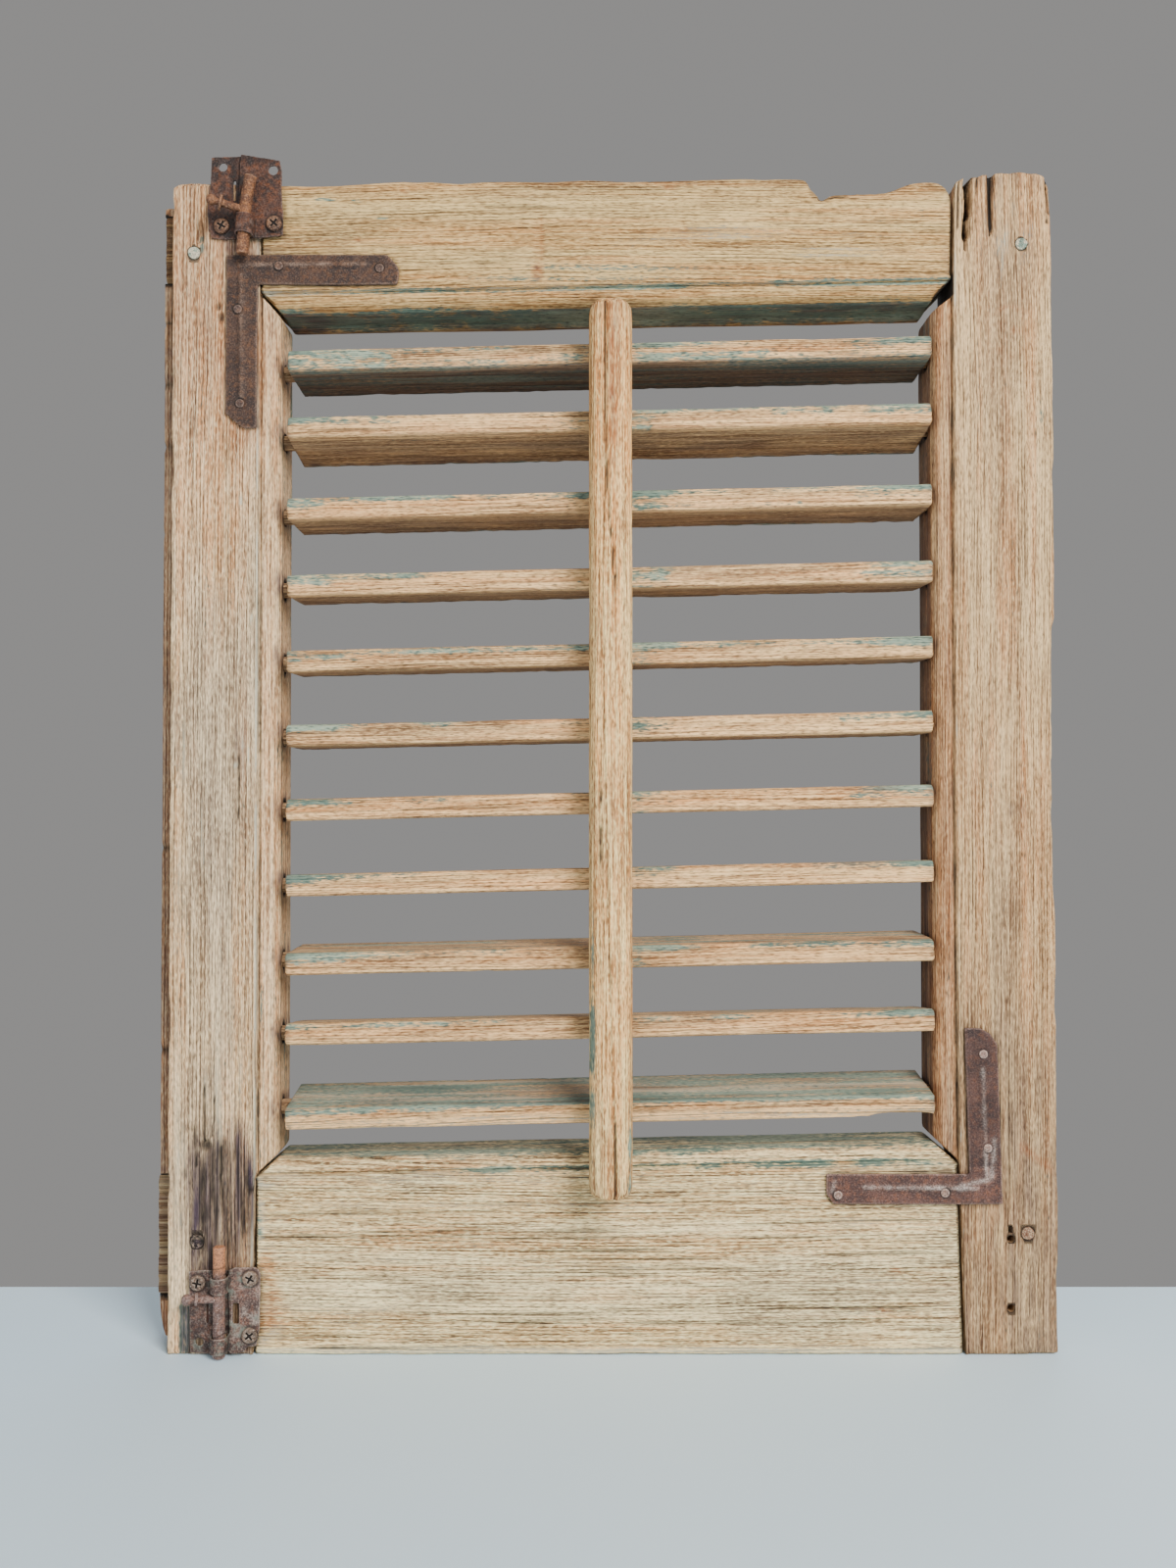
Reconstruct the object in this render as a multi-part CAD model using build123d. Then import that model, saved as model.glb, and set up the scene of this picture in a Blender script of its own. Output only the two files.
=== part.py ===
from build123d import *
import math
import os

# Old wooden louvre shutter with its frame.  Millimetres, +Z up, the front face
# looks along -Y, +X to the right.  Origin: middle of the bottom edge, in the
# middle of the frame's thickness.

# ---------------------------------------------------------------- dimensions
T = 28.0                    # thickness of the frame
YF, YB = -T / 2, T / 2      # front and back faces
H = 528.3                   # height of the left stile
X_LIP = -203.4              # outer edge of the rebate lip (meeting edge)
X_L = -195.5                # left stile, front layer
X_LQ = -155.6               # left stile, quirk of the moulding
X_LI = -146.6               # left stile, inner face
X_RI = 149.5                # right stile, inner face
X_RQ = 158.6                # right stile, quirk of the moulding
LIP_Y = 0.0                 # the rebate lip is the back half of the thickness
QUIRK_D = 1.7               # depth of the quirk
OVOLO_D = 7.5               # depth of the ovolo below the front face
TEN_T = 9.0                 # tenon thickness
SLOPE_TOP = 0.0195          # the frame is racked: the rails rise to the right
SLOPE_BOT = 0.0215
PHI = 1.30                  # slope of the slats, degrees
XC = 3.1                    # middle of the slats and of the tilt rod
SLAT_W, SLAT_T = 36.5, 10.0
SLAT_X0, SLAT_X1 = -142.4, 148.3
PIVOT_R, PIVOT_GAP = 3.5, 0.08
SLAT_Z = [448.7, 416.6, 382.2, 348.3, 314.2, 280.2, 246.9, 212.3, 178.2, 144.7, 111.0]
SLAT_TILT = [1.8, 8.2, 0.4, -2.0, -1.7, 0.0, 0.0, 2.6, -1.2, 6.6, -7.2]   # front edge up, degrees
ROD_W, ROD_T = 19.0, 12.0
ROD_Z0, ROD_Z1 = 75.6, 466.7
LINK_Y = -24.5              # crown of the slat staples, where the rod is linked
ROD_BACK = -27.8
WIRE_R = 0.65
SHEET = 1.2                 # sheet of the slide bolts
IRON_T = 1.7                # corner irons

os.makedirs("parts", exist_ok=True)


# ---------------------------------------------------------------- helpers
def prism(pts, y0, y1):
    """Prism of an (x, z) outline between two depths."""
    f = Face(Wire.make_polygon([Vector(x, y0, z) for x, z in pts], close=True))
    return Solid.extrude(f, Vector(0, y1 - y0, 0))


def box(x0, x1, y0, y1, z0, z1):
    return Pos((x0 + x1) / 2, (y0 + y1) / 2, (z0 + z1) / 2) * Box(x1 - x0, y1 - y0, z1 - z0)


def cyl(p, q, r):
    p, q = Vector(*p), Vector(*q)
    d = q - p
    return Plane(origin=p, z_dir=d) * Cylinder(r, d.length, align=(Align.CENTER, Align.CENTER, Align.MIN))


def ball(p, r):
    return Pos(*p) * Sphere(r)


def lone(shape):
    """The single solid of a boolean result."""
    s = sorted(shape.solids(), key=lambda k: -k.volume)
    if len(s) != 1:
        print("   note: extra solids", [round(k.volume, 2) for k in s])
    return s[0]


def save(name, *solids):
    obj = solids[0] if len(solids) == 1 else Compound(children=list(solids))
    export_step(obj, "parts/%s.step" % name)


# Moulding cutter: what is taken off the front inner edge.  u runs inwards from
# the quirk, y is the depth.  Quirk groove, then the ovolo down to the inner face.
def mould_face(width, extra=3.0):
    a, b, c = (0.0, YF - 1.0), (0.0, YF + QUIRK_D), (0.9, YF + QUIRK_D)
    d, m, e = (0.9, YF + 0.7), (width * 0.68, YF + 2.4), (width, YF + OVOLO_D)
    g, h = (width + extra, YF + OVOLO_D), (width + extra, YF - 1.0)
    return a, b, c, d, m, e, g, h


def mould_cut(width, length, to3d, direction, extra=3.0):
    a, b, c, d, m, e, g, h = [to3d(*p) for p in mould_face(width, extra)]
    w = Wire([Edge.make_line(a, b), Edge.make_line(b, c), Edge.make_line(c, d),
              Edge.make_three_point_arc(d, m, e), Edge.make_line(e, g),
              Edge.make_line(g, h), Edge.make_line(h, a)])
    return Solid.extrude(Face(w), Vector(*direction) * length)


# ---------------------------------------------------------------- fasteners first, so that the wood gets their holes
def screw(x, z, y_face, r=3.55, turn=20.0, length=15.0):
    """Cross-slot wood screw with an oval head, its axis along Y."""
    head = cyl((x, y_face, z), (x, y_face - 1.5, z), r)
    head = fillet(head.edges().filter_by(GeomType.CIRCLE).group_by(Axis.Y)[0], 1.1)
    for k in (0, 90):
        head -= Pos(x, y_face - 1.5, z) * Rot(0, turn + k, 0) * Box(4.2, 1.6, 0.9)
    shank = cyl((x, y_face, z), (x, y_face + length - 3, z), 1.6)
    tip = Plane(origin=(x, y_face + length - 3, z), z_dir=(0, 1, 0)) * Cone(1.6, 0.3, 3.0, align=(Align.CENTER, Align.CENTER, Align.MIN))
    return lone(head + shank + tip), [(x, z, 1.62, YF + length + 1 - (YF - y_face))]


def nail(x, z, y_face, r=2.0, length=17.0):
    head = cyl((x, y_face, z), (x, y_face - 0.8, z), r)
    head = fillet(head.edges().filter_by(GeomType.CIRCLE).group_by(Axis.Y)[0], 0.5)
    return lone(head + cyl((x, y_face, z), (x, y_face + length, z), 1.0))


IRON_F = YF - IRON_T
NAILS_TOP = [(-165.0, 469.9), (-163.9, 427.1), (-101.0, 488.6), (-146.6, 489.6)]
NAILS_BOT = [(170.2, 134.4), (172.0, 92.5), (152.8, 72.6), (104.9, 71.6)]
BOLT_LOW = YF - SHEET                # front of the low half of a bolt plate
BOLT_HIGH = YF - 2.6                 # front of its raised half
SCREWS_TOP = [(-172.6, 507.9, BOLT_LOW, 28), (-148.6, 508.4, BOLT_HIGH, 40)]
SCREWS_BOT = [(-181.3, 32.4, BOLT_LOW, 12), (-157.4, 34.9, BOLT_HIGH, 28), (-157.6, 9.7, BOLT_HIGH, 52)]
PEGS = [(-185.5, 496.3, 2.85), (189.7, 500.4, 2.75), (-182.0, 50.3, 3.2), (190.3, 54.0, 3.0)]
HINGE_HOLES = [(182.75, 51.4), (182.75, 20.6)]

nails_top = [nail(x, z, IRON_F) for x, z in NAILS_TOP]
nails_bot = [nail(x, z, IRON_F) for x, z in NAILS_BOT]
screws_top = [screw(x, z, y, turn=t)[0] for x, z, y, t in SCREWS_TOP]
screws_bot = [screw(x, z, y, turn=t)[0] for x, z, y, t in SCREWS_BOT]
pegs = [cyl((x, YF - 0.35, z), (x, YB - 0.5, z), r) for x, z, r in PEGS]

holes = []                            # drilled or driven holes in the wood
for x, z in NAILS_TOP + NAILS_BOT:
    holes.append(cyl((x, YF - 1, z), (x, IRON_F + 17.3, z), 1.03))
for x, z, y, t in SCREWS_TOP + SCREWS_BOT:
    holes.append(cyl((x, YF - 1, z), (x, y + 15.4, z), 1.65))
peg_holes = [cyl((x, YF - 1, z), (x, YB + 1, z), r + 0.05) for x, z, r in PEGS]


def drill(solid, only=None):
    bb = solid.bounding_box()
    for h in holes + peg_holes:
        hb = h.bounding_box()
        if hb.min.X < bb.max.X and hb.max.X > bb.min.X and hb.min.Z < bb.max.Z and hb.max.Z > bb.min.Z:
            solid = solid - h
    return solid


# ---------------------------------------------------------------- pivot bores of the slats (axes rise by PHI)
def slat_frame(k):
    """Location of slat k's own frame: x along the slat, origin on its axis at XC."""
    return Pos(XC, 0, SLAT_Z[k]) * Rot(0, -PHI, 0)


def along_slat(k, x0, x1, r):
    c = Rot(0, 90, 0) * Cylinder(r, x1 - x0, align=(Align.CENTER, Align.CENTER, Align.MIN))
    return slat_frame(k) * Pos(x0 - XC, 0, 0) * c


# ---------------------------------------------------------------- left stile (meeting stile, with its rebate lip)
TOP_Q, TOP_I = 481.4, 473.0          # top rail: quirk and inner edge at x = 0
BOT_Q, BOT_I = 82.7, 90.0            # bottom rail
def zt_q(x): return TOP_Q + SLOPE_TOP * x
def zt_i(x): return TOP_I + SLOPE_TOP * x
def zb_q(x): return BOT_Q + SLOPE_BOT * x
def zb_i(x): return BOT_I + SLOPE_BOT * x

TENON_TOP = (488.0, 519.0)           # z range of the upper tenons
TENON_BOT = (22.0, 66.0)             # lower tenons, part that is inside the right stile
TENON_BOT_L = (22.0, 76.0)

sl = prism([(X_L, 0.0), (X_L, 526.8), (-193.2, H), (-187.0, 529.0), (-179.4, 528.6), (X_LQ, 528.3),
            (X_LQ, 478.4), (X_LQ, 477.6), (X_LI, 468.4), (X_LI, 88.4), (X_LQ, 80.4), (-156.2, 79.0), (-157.0, 0.0)], YF, YB)
lip = prism([(X_L, 2.0), (-200.7, 2.0), (-203.6, 22.0), (X_LIP, 82.5), (-203.3, 469.0), (-202.4, 523.3), (X_L, 523.3)], LIP_Y, YB)
sl = sl + lip
sl -= mould_cut(X_LI - X_LQ, 398.0, lambda u, y: Vector(X_LQ + u, y, 80.0), (0, 0, 1)) & \
    prism([(X_LQ - 1, 80.9), (X_LI + 9, 96.9), (X_LI + 9, 460.0), (X_LI, 468.0), (X_LQ, 477.2), (X_LQ - 1, 477.2)], YF - 2, YB)
for z0, z1 in (TENON_TOP, TENON_BOT_L):
    sl -= box(-206.0, X_LQ + 2, -TEN_T / 2 - 0.1, TEN_T / 2 + 0.1, z0 - 0.2, z1 + 0.2)
for k in range(11):
    sl -= along_slat(k, -154.6, -140.0, PIVOT_R + PIVOT_GAP)
sl = lone(drill(sl))
save("stile_left", sl)

# ---------------------------------------------------------------- right stile (hanging stile), with its worn and split top
sr = prism([(162.4, 0.0), (159.8, 84.8), (159.7, 86.6), (X_RI, 95.6), (X_RI, 470.9), (X_RQ, 476.9), (158.8, 486.0), (159.3, 526.8),
            (162.3, 530.4), (166.7, 532.0), (173.4, 532.6), (180.0, 533.4), (189.0, 533.7), (197.0, 533.0),
            (200.6, 531.6), (202.8, 528.4), (203.2, 522.0), (203.7, 477.0), (204.2, 415.0), (204.1, 329.5),
            (202.7, 325.5), (202.5, 255.0), (203.3, 224.0), (203.9, 193.0), (204.0, 132.0), (204.0, 0.0)], YF, YB)
sr -= mould_cut(X_RQ - X_RI, 388.0, lambda u, y: Vector(X_RQ - u, y, 90.0), (0, 0, 1)) & \
    prism([(X_RQ + 1.5, 90.0), (X_RI, 97.0), (X_RI - 9, 97.0), (X_RI - 9, 470.7), (X_RI, 470.7), (X_RQ, 476.1), (X_RQ + 1.5, 476.1)], YF - 2, YB)
sr -= prism([(163.9, 536.0), (166.9, 536.0), (166.2, 520.0), (165.2, 508.0), (164.5, 497.0), (163.8, 515.0)], YF - 1, YF + 13.0)
sr -= prism([(174.3, 536.0), (177.9, 536.0), (177.2, 512.0), (176.3, 505.2), (175.2, 504.2), (174.5, 508.0)], YF - 1, YF + 4.5)
sr -= prism([(201.0, 536.0), (202.2, 536.0), (202.4, 520.0), (202.0, 512.0), (201.5, 522.0)], YF - 1, YF + 8.0)
for z0, z1 in (TENON_TOP, TENON_BOT):
    sr -= box(X_RQ - 2, 206.0, -TEN_T / 2 - 0.1, TEN_T / 2 + 0.1, z0 - 0.2, z1 + 0.2)
for k in range(11):
    sr -= along_slat(k, 144.0, 158.9, PIVOT_R + PIVOT_GAP)
for x, z in HINGE_HOLES:
    sr -= cyl((x, YF - 1, z), (x, YF + 18, z), 1.75)
sr -= box(181.6, 183.0, YF - 1, YF + 6, 54.0, 56.6)      # small torn slot above the upper empty hole
sr = lone(drill(sr))
save("stile_right", sr)

# ---------------------------------------------------------------- top rail, with the piece broken out of its top edge
rt_top = [(-155.2, 527.8), (-144.7, 527.7), (-113.6, 528.2), (-95.8, 529.4), (-82.4, 529.8), (-64.6, 528.6), (-51.3, 529.8),
          (-24.6, 529.4), (-6.8, 530.3), (11.0, 529.5), (37.7, 530.1), (64.4, 530.8), (91.1, 530.6), (92.9, 529.7),
          (93.7, 526.8), (96.4, 524.1), (99.1, 521.4), (102.2, 522.8), (105.3, 523.9), (117.8, 524.1), (128.9, 525.0),
          (134.7, 527.0), (140.0, 528.6), (146.7, 529.4), (152.5, 529.0), (156.0, 526.8), (157.6, 524.0)]
rt = prism(rt_top + [(158.3, 508.0), (157.9, 484.6), (151.8, 478.4), (149.2, zt_i(149.2) - 1.8), (-146.0, zt_i(-146) - 1.8), (-146.0, 470.0), (-155.2, 478.7)], YF, YB)
cut = mould_cut(8.4, 340.0, lambda u, y: Vector(-170.0, y, -u), (1, 0, 0), extra=6.0)
rt -= Pos(0, 0, TOP_Q) * Rot(0, -math.degrees(math.atan(SLOPE_TOP)), 0) * cut
rt -= Pos(0, 0, TOP_I) * Rot(0, -math.degrees(math.atan(SLOPE_TOP)), 0) * box(-170, 170, YF - 1, 9.0, -6.0, 0.0)
z0, z1 = TENON_TOP
rt += box(X_L, -155.0, -TEN_T / 2, TEN_T / 2, z0, z1)
rt += box(X_LIP + 0.2, X_L + 1, LIP_Y, TEN_T / 2, z0, z1)
rt += box(157.0, 203.0, -TEN_T / 2, TEN_T / 2, z0, z1)
rt = lone(drill(rt))
save("rail_top", rt)

# ---------------------------------------------------------------- bottom rail
rb = prism([(-156.4, 0.0), (-155.7, 79.3), (-146.4, 87.1), (-146.4, zb_i(-146.4)), (149.6, zb_i(149.6)), (149.6, 93.2), (159.0, 85.4), (159.3, 84.6), (161.5, 0.0)], YF, YB)
cut = mould_cut(7.3, 340.0, lambda u, y: Vector(-170.0, y, u), (1, 0, 0), extra=6.0)
rb -= Pos(0, 0, BOT_Q) * Rot(0, -math.degrees(math.atan(SLOPE_BOT)), 0) * cut
z0, z1 = TENON_BOT_L
rb += box(X_L, -155.0, -TEN_T / 2, TEN_T / 2, z0, z1)
rb += box(-204.2, X_L + 1, LIP_Y, TEN_T / 2, z0, z1)
z0, z1 = TENON_BOT
rb += box(158.0, 203.4, -TEN_T / 2, TEN_T / 2, z0, z1)
rb = lone(drill(rb))
save("rail_bottom", rb)

# ---------------------------------------------------------------- slats with their round end pivots, and the slat staples
def staple_legs(p_crown, p_in, half):
    """Two legs along a line, a crown across them; half = half the spacing, along X."""
    a0, a1 = Vector(p_crown[0] - half, *p_crown[1:]), Vector(p_crown[0] + half, *p_crown[1:])
    b0, b1 = Vector(p_in[0] - half, *p_in[1:]), Vector(p_in[0] + half, *p_in[1:])
    return a0, a1, b0, b1


for k in range(11):
    a = SLAT_TILT[k]
    blank = Rot(0, 90, 0) * extrude(RectangleRounded(SLAT_T, SLAT_W, 2.7), SLAT_X1 - SLAT_X0)
    blank = Pos(SLAT_X0 - XC, 0, 0) * blank
    # turned about its own axis, so that the front edge (towards -Y) goes up by the tilt
    slat = slat_frame(k) * Rot(-a, 0, 0) * blank
    slat += along_slat(k, -153.9, SLAT_X0 + 1.0, PIVOT_R)
    slat += along_slat(k, SLAT_X1 - 1.0, 158.2, PIVOT_R)
    if k == 10:                       # a chip is missing from the lower front edge, at the right
        slat -= slat_frame(k) * Rot(-a, 0, 0) * Pos(134, -18.6, -5.2) * Rot(0, 2.0, 0) * Box(26, 3.2, 2.6)
    ta = math.radians(a)
    # the crown stands at the height of the pivot; the legs run back into the nose
    y_in, z_in = -12.5 * math.cos(ta), 12.5 * math.sin(ta)
    a0, a1, b0, b1 = staple_legs((0, LINK_Y, 0), (0, y_in, z_in), 4.0)
    st = cyl(a0, b0, WIRE_R) + cyl(a1, b1, WIRE_R) + cyl(a0, a1, WIRE_R) + ball(a0, WIRE_R) + ball(a1, WIRE_R)
    st = slat_frame(k) * st
    grow = WIRE_R + 0.03
    d0, d1 = (b0 - a0).normalized() * 0.4, (b1 - a1).normalized() * 0.4
    slat -= slat_frame(k) * (cyl(a0, b0 + d0, grow) + cyl(a1, b1 + d1, grow))
    save("slat_%02d" % (k + 1), lone(slat))
    save("slat_staple_%02d" % (k + 1), lone(st))

# ---------------------------------------------------------------- tilt rod and its staples
prof = [(-ROD_W / 2, ROD_BACK), (-ROD_W / 2, ROD_BACK - 5.5), (-ROD_W / 2 + 4.2, ROD_BACK - ROD_T + 0.9), (0, ROD_BACK - ROD_T),
        (ROD_W / 2 - 4.2, ROD_BACK - ROD_T + 0.9), (ROD_W / 2, ROD_BACK - 5.5), (ROD_W / 2, ROD_BACK)]
P = [Vector(XC + x, y, ROD_Z0) for x, y in prof]
w = Wire([Edge.make_line(P[0], P[1]),
          Edge.make_spline([P[1], P[2], P[3], P[4], P[5]], tangents=[Vector(0, -1, 0), Vector(0, 1, 0)]),
          Edge.make_line(P[5], P[6]), Edge.make_line(P[6], P[0])])
rod = Solid.extrude(Face(w), Vector(0, 0, ROD_Z1 - ROD_Z0))
# rounded ends, seen from the front
endcap = prism([(XC - 9.6, ROD_Z0 + 5.0), (XC - 9.0, ROD_Z0 + 2.6), (XC - 6.2, ROD_Z0 + 0.3), (XC - 3.0, ROD_Z0), (XC + 4.0, ROD_Z0), (XC + 7.2, ROD_Z0 + 0.8),
                (XC + 9.0, ROD_Z0 + 3.4), (XC + 9.6, ROD_Z0 + 6.0),
                (XC + 9.6, ROD_Z1 - 6.0), (XC + 8.8, ROD_Z1 - 3.0), (XC + 6.6, ROD_Z1 - 0.9), (XC + 3.4, ROD_Z1), (XC - 4.2, ROD_Z1),
                (XC - 7.4, ROD_Z1 - 1.2), (XC - 9.0, ROD_Z1 - 3.6), (XC - 9.6, ROD_Z1 - 6.0)], ROD_BACK - ROD_T - 2, ROD_BACK + 2)
rod = rod & endcap
rod_st = []
HOOK_Y = LINK_Y + 3.1                 # crown of a rod staple, behind the slat staple's crown
for k in range(11):
    z = SLAT_Z[k]
    p0, p1 = Vector(XC, HOOK_Y, z - 3.6), Vector(XC, HOOK_Y, z + 3.6)
    q0, q1 = Vector(XC, ROD_BACK - 5.0, z - 3.6), Vector(XC, ROD_BACK - 5.0, z + 3.6)
    rod_st.append(lone(cyl(p0, q0, WIRE_R) + cyl(p1, q1, WIRE_R) + cyl(p0, p1, WIRE_R) + ball(p0, WIRE_R) + ball(p1, WIRE_R)))
    for p, q in ((p0, q0), (p1, q1)):
        rod -= cyl(Vector(XC, ROD_BACK + 1, p.Z), q + Vector(0, -0.4, 0), WIRE_R + 0.03)
save("tilt_rod", lone(rod))
save("rod_staples", *rod_st)

# ---------------------------------------------------------------- corner irons, each with a raised rib along both arms
def corner_iron(outline, ribs, nails):
    p = prism(outline, IRON_F, YF)
    for (x0, z0), (x1, z1) in ribs:
        r = cyl((x0, IRON_F + 1.2, z0), (x1, IRON_F + 1.2, z1), 2.1) + ball((x0, IRON_F + 1.2, z0), 2.1) + ball((x1, IRON_F + 1.2, z1), 2.1)
        p += r & box(-300, 300, IRON_F - 5, YF - 0.3, -10, 600)
    for x, z in nails:
        p -= cyl((x, IRON_F - 3, z), (x, YF + 1, z), 1.03)
        p -= cyl((x, IRON_F - 3, z), (x, IRON_F, z), 2.6)
    return lone(p)


iron_top = corner_iron([(-170.5, 495.0), (-170.7, 422.9), (-166.9, 419.3), (-162.2, 415.9), (-156.9, 415.9), (-156.3, 417.0), (-156.2, 460.0),
                        (-155.9, 481.3), (-120.0, 481.2), (-93.6, 481.3), (-92.6, 482.2), (-92.1, 487.2), (-93.0, 490.0), (-97.6, 495.0), (-130.0, 495.1)],
                       [((-163.6, 485.4), (-163.3, 429.8)), ((-163.6, 489.9), (-108.0, 490.5))], NAILS_TOP)
iron_bot = corner_iron([(178.9, 67.2), (176.9, 138.6), (173.4, 143.6), (169.0, 146.0), (161.8, 146.4), (163.8, 80.9), (130.0, 80.9), (99.8, 80.9),
                        (99.7, 72.0), (103.0, 67.3), (140.0, 67.1)],
                       [((171.4, 76.4), (169.8, 127.4)), ((167.0, 74.6), (117.0, 75.2))], NAILS_BOT)
save("corner_iron_top", iron_top)
save("corner_iron_bottom", iron_bot)
save("corner_nails_top", *nails_top)
save("corner_nails_bottom", *nails_bot)


# ---------------------------------------------------------------- slide bolts
def strap(x, z0, z1, y_axis, r_in, r_out, y_plate, lean=0.0):
    """Half-round band lanced out of the plate, over a rod with its axis at (x, y_axis)."""
    ring = cyl((x, y_axis, z0), (x, y_axis, z1), r_out)
    legs = box(x - r_out, x + r_out, y_axis, y_plate, z0, z1)
    bore = cyl((x, y_axis, z0 - 1), (x, y_axis, z1 + 1), r_in) + box(x - r_in, x + r_in, y_axis, YF + 1, z0 - 1, z1 + 1)
    band = (ring + legs) - bore
    if lean:
        band = Pos(x, 0, (z0 + z1) / 2) * Rot(0, lean, 0) * Pos(-x, 0, -(z0 + z1) / 2) * band
    return band


# upper bolt: low left half, raised right half, one strap left; the rod is bent
ROD_R = 2.75
BT_AX, BT_AY = -161.35, BOLT_HIGH - 0.35 - ROD_R      # rod axis at the strap
BT_LEAN = 3.2                                          # the bolt leans to the right, degrees
low = prism([(-177.5, 539.4), (-176.0, 539.8), (-164.0, 540.0), (-165.6, 502.2), (-170.7, 501.9), (-177.3, 502.4), (-178.6, 506.7), (-179.4, 513.9), (-179.1, 520.1), (-178.0, 526.2)],
            BOLT_LOW, YF)
high = prism([(-164.0, 540.0), (-162.7, 540.1), (-146.2, 537.5), (-145.9, 536.0), (-145.1, 532.4), (-145.3, 524.2), (-144.5, 511.9), (-144.6, 503.6), (-146.8, 502.9), (-155.4, 502.1), (-165.6, 502.2)],
             BOLT_HIGH, BOLT_HIGH + SHEET)
web = prism([(-164.0, 540.0), (-163.0, 540.0), (-164.6, 502.2), (-165.6, 502.2)], BOLT_HIGH, YF)
pt = low + web + high
pt -= prism([(BT_AX - 3.1, 502.6), (BT_AX - 2.5, 511.4), (BT_AX + 3.4, 511.4), (BT_AX + 2.9, 502.6)], BOLT_HIGH - 1, YF + 1)
pt += strap(BT_AX, 502.2, 511.1, BT_AY, 3.1, 4.1, BOLT_HIGH + SHEET, BT_LEAN)
BT_HOLES = [(-172.2, 535.0, 1.8), (-149.2, 532.9, 2.0)]
for x, z, r in BT_HOLES:
    pt -= cyl((x, BOLT_HIGH - 4, z), (x, YF + 1, z), r)
pt -= box(-167.4, -166.4, BOLT_LOW - 1, YF + 1, 519.6, 528.8)          # narrow slot
for x, z, y, t in SCREWS_TOP:
    pt -= cyl((x, BOLT_HIGH - 2, z), (x, YF + 1, z), 1.65)
pt = lone(pt)
save("bolt_plate_top", pt)
save("bolt_screws_top", *screws_top)


def turned(origin, direction, t0, r_pin, t_disc, r_disc, t_neck, r_neck, t_ball, r_ball):
    """Turned knob: pin, thin disc, neck and ball end along one axis."""
    dt = math.sqrt(r_ball ** 2 - r_neck ** 2)
    tc = t_ball + dt
    e = [Edge.make_line((0, 0, t0), (r_pin, 0, t0)), Edge.make_line((r_pin, 0, t0), (r_pin, 0, t_disc)),
         Edge.make_line((r_pin, 0, t_disc), (r_disc, 0, t_disc)), Edge.make_line((r_disc, 0, t_disc), (r_disc, 0, t_neck)),
         Edge.make_line((r_disc, 0, t_neck), (r_neck, 0, t_neck)), Edge.make_line((r_neck, 0, t_neck), (r_neck, 0, t_ball)),
         Edge.make_three_point_arc((r_neck, 0, t_ball), (r_ball, 0, tc), (0, 0, tc + r_ball)),
         Edge.make_line((0, 0, tc + r_ball), (0, 0, t0))]
    body = revolve(Face(Wire(e)), Axis.Z, 360)
    return Plane(origin=origin, z_dir=direction) * body


def at_lean(p, x, z, lean):
    return Pos(x, 0, z) * Rot(0, lean, 0) * Pos(-x, 0, -z) * p


zc = 506.65
tl = math.tan(math.radians(BT_LEAN))
foot = Vector(BT_AX - tl * (zc - 493.2), BT_AY, 493.2)
bend = Vector(BT_AX + tl * (515.5 - zc), BT_AY, 515.5)
tip = Vector(-158.3, BT_AY - 0.6, 528.4)
path = FilletPolyline(foot, bend, tip, radius=40)
rt_rod = sweep(Plane(origin=foot, z_dir=bend - foot) * Circle(ROD_R), path=path)
rt_rod = fillet(rt_rod.edges().filter_by(GeomType.CIRCLE).group_by(Axis.Z)[0], 1.0)
rt_rod = lone(rt_rod)
save("bolt_rod_top", rt_rod)

kp0 = Vector(BT_AX - 0.2, BT_AY - 0.4, 513.3)
kd = Vector(-0.945, -0.26, 0.20)
knob = turned(kp0, kd, 1.0, 1.75, 9.6, 3.6, 10.7, 1.5, 12.2, 2.45)
knob = lone(knob - rt_rod)
save("bolt_knob_top", knob)

# lower bolt: the rod lies in the channel between the halves and runs through two straps
BB_AX, BB_AY = -170.8, BOLT_LOW - 0.35 - ROD_R
low = prism([(-185.4, 37.6), (-177.2, 38.1), (-166.6, 37.9), (-166.2, 1.0), (-175.5, 0.7), (-184.6, 1.2)], BOLT_LOW, YF)
web = prism([(-167.2, 38.4), (-166.2, 39.0), (-165.8, 1.2), (-166.8, 1.2)], BOLT_HIGH, YF)
high = prism([(-167.0, 38.4), (-164.5, 39.6), (-155.6, 39.8), (-153.6, 38.8), (-152.9, 36.6), (-153.1, 12.8), (-154.5, 5.0), (-156.2, 4.4), (-158.4, 4.6), (-160.2, 2.0), (-163.0, 1.6), (-166.0, 1.2)],
             BOLT_HIGH, BOLT_HIGH + SHEET)
pb = low + web + high
for z0, z1 in ((28.9, 36.2), (2.5, 9.9)):
    pb -= box(BB_AX - 3.1, BB_AX + 3.1, BOLT_LOW - 1, YF + 1, z0 + 0.3, z1 - 0.3)
    pb += strap(BB_AX, z0, z1, BB_AY, 3.1, 4.05, YF)
pb -= box(-165.2, -162.4, BOLT_HIGH - 1, YF + 1, 14.8, 23.8)            # window
pb -= box(-177.3, -176.4, BOLT_LOW - 1, YF + 1, 14.4, 23.0)             # narrow slot
BB_HOLE = (-180.3, 6.2, 1.7)
pb -= cyl((BB_HOLE[0], BOLT_LOW - 2, BB_HOLE[1]), (BB_HOLE[0], YF + 1, BB_HOLE[1]), BB_HOLE[2])
for x, z, y, t in SCREWS_BOT:
    pb -= cyl((x, BOLT_HIGH - 2, z), (x, YF + 1, z), 1.65)
pb = lone(pb)
save("bolt_plate_bottom", pb)
save("bolt_screws_bottom", *screws_bot)

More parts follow.
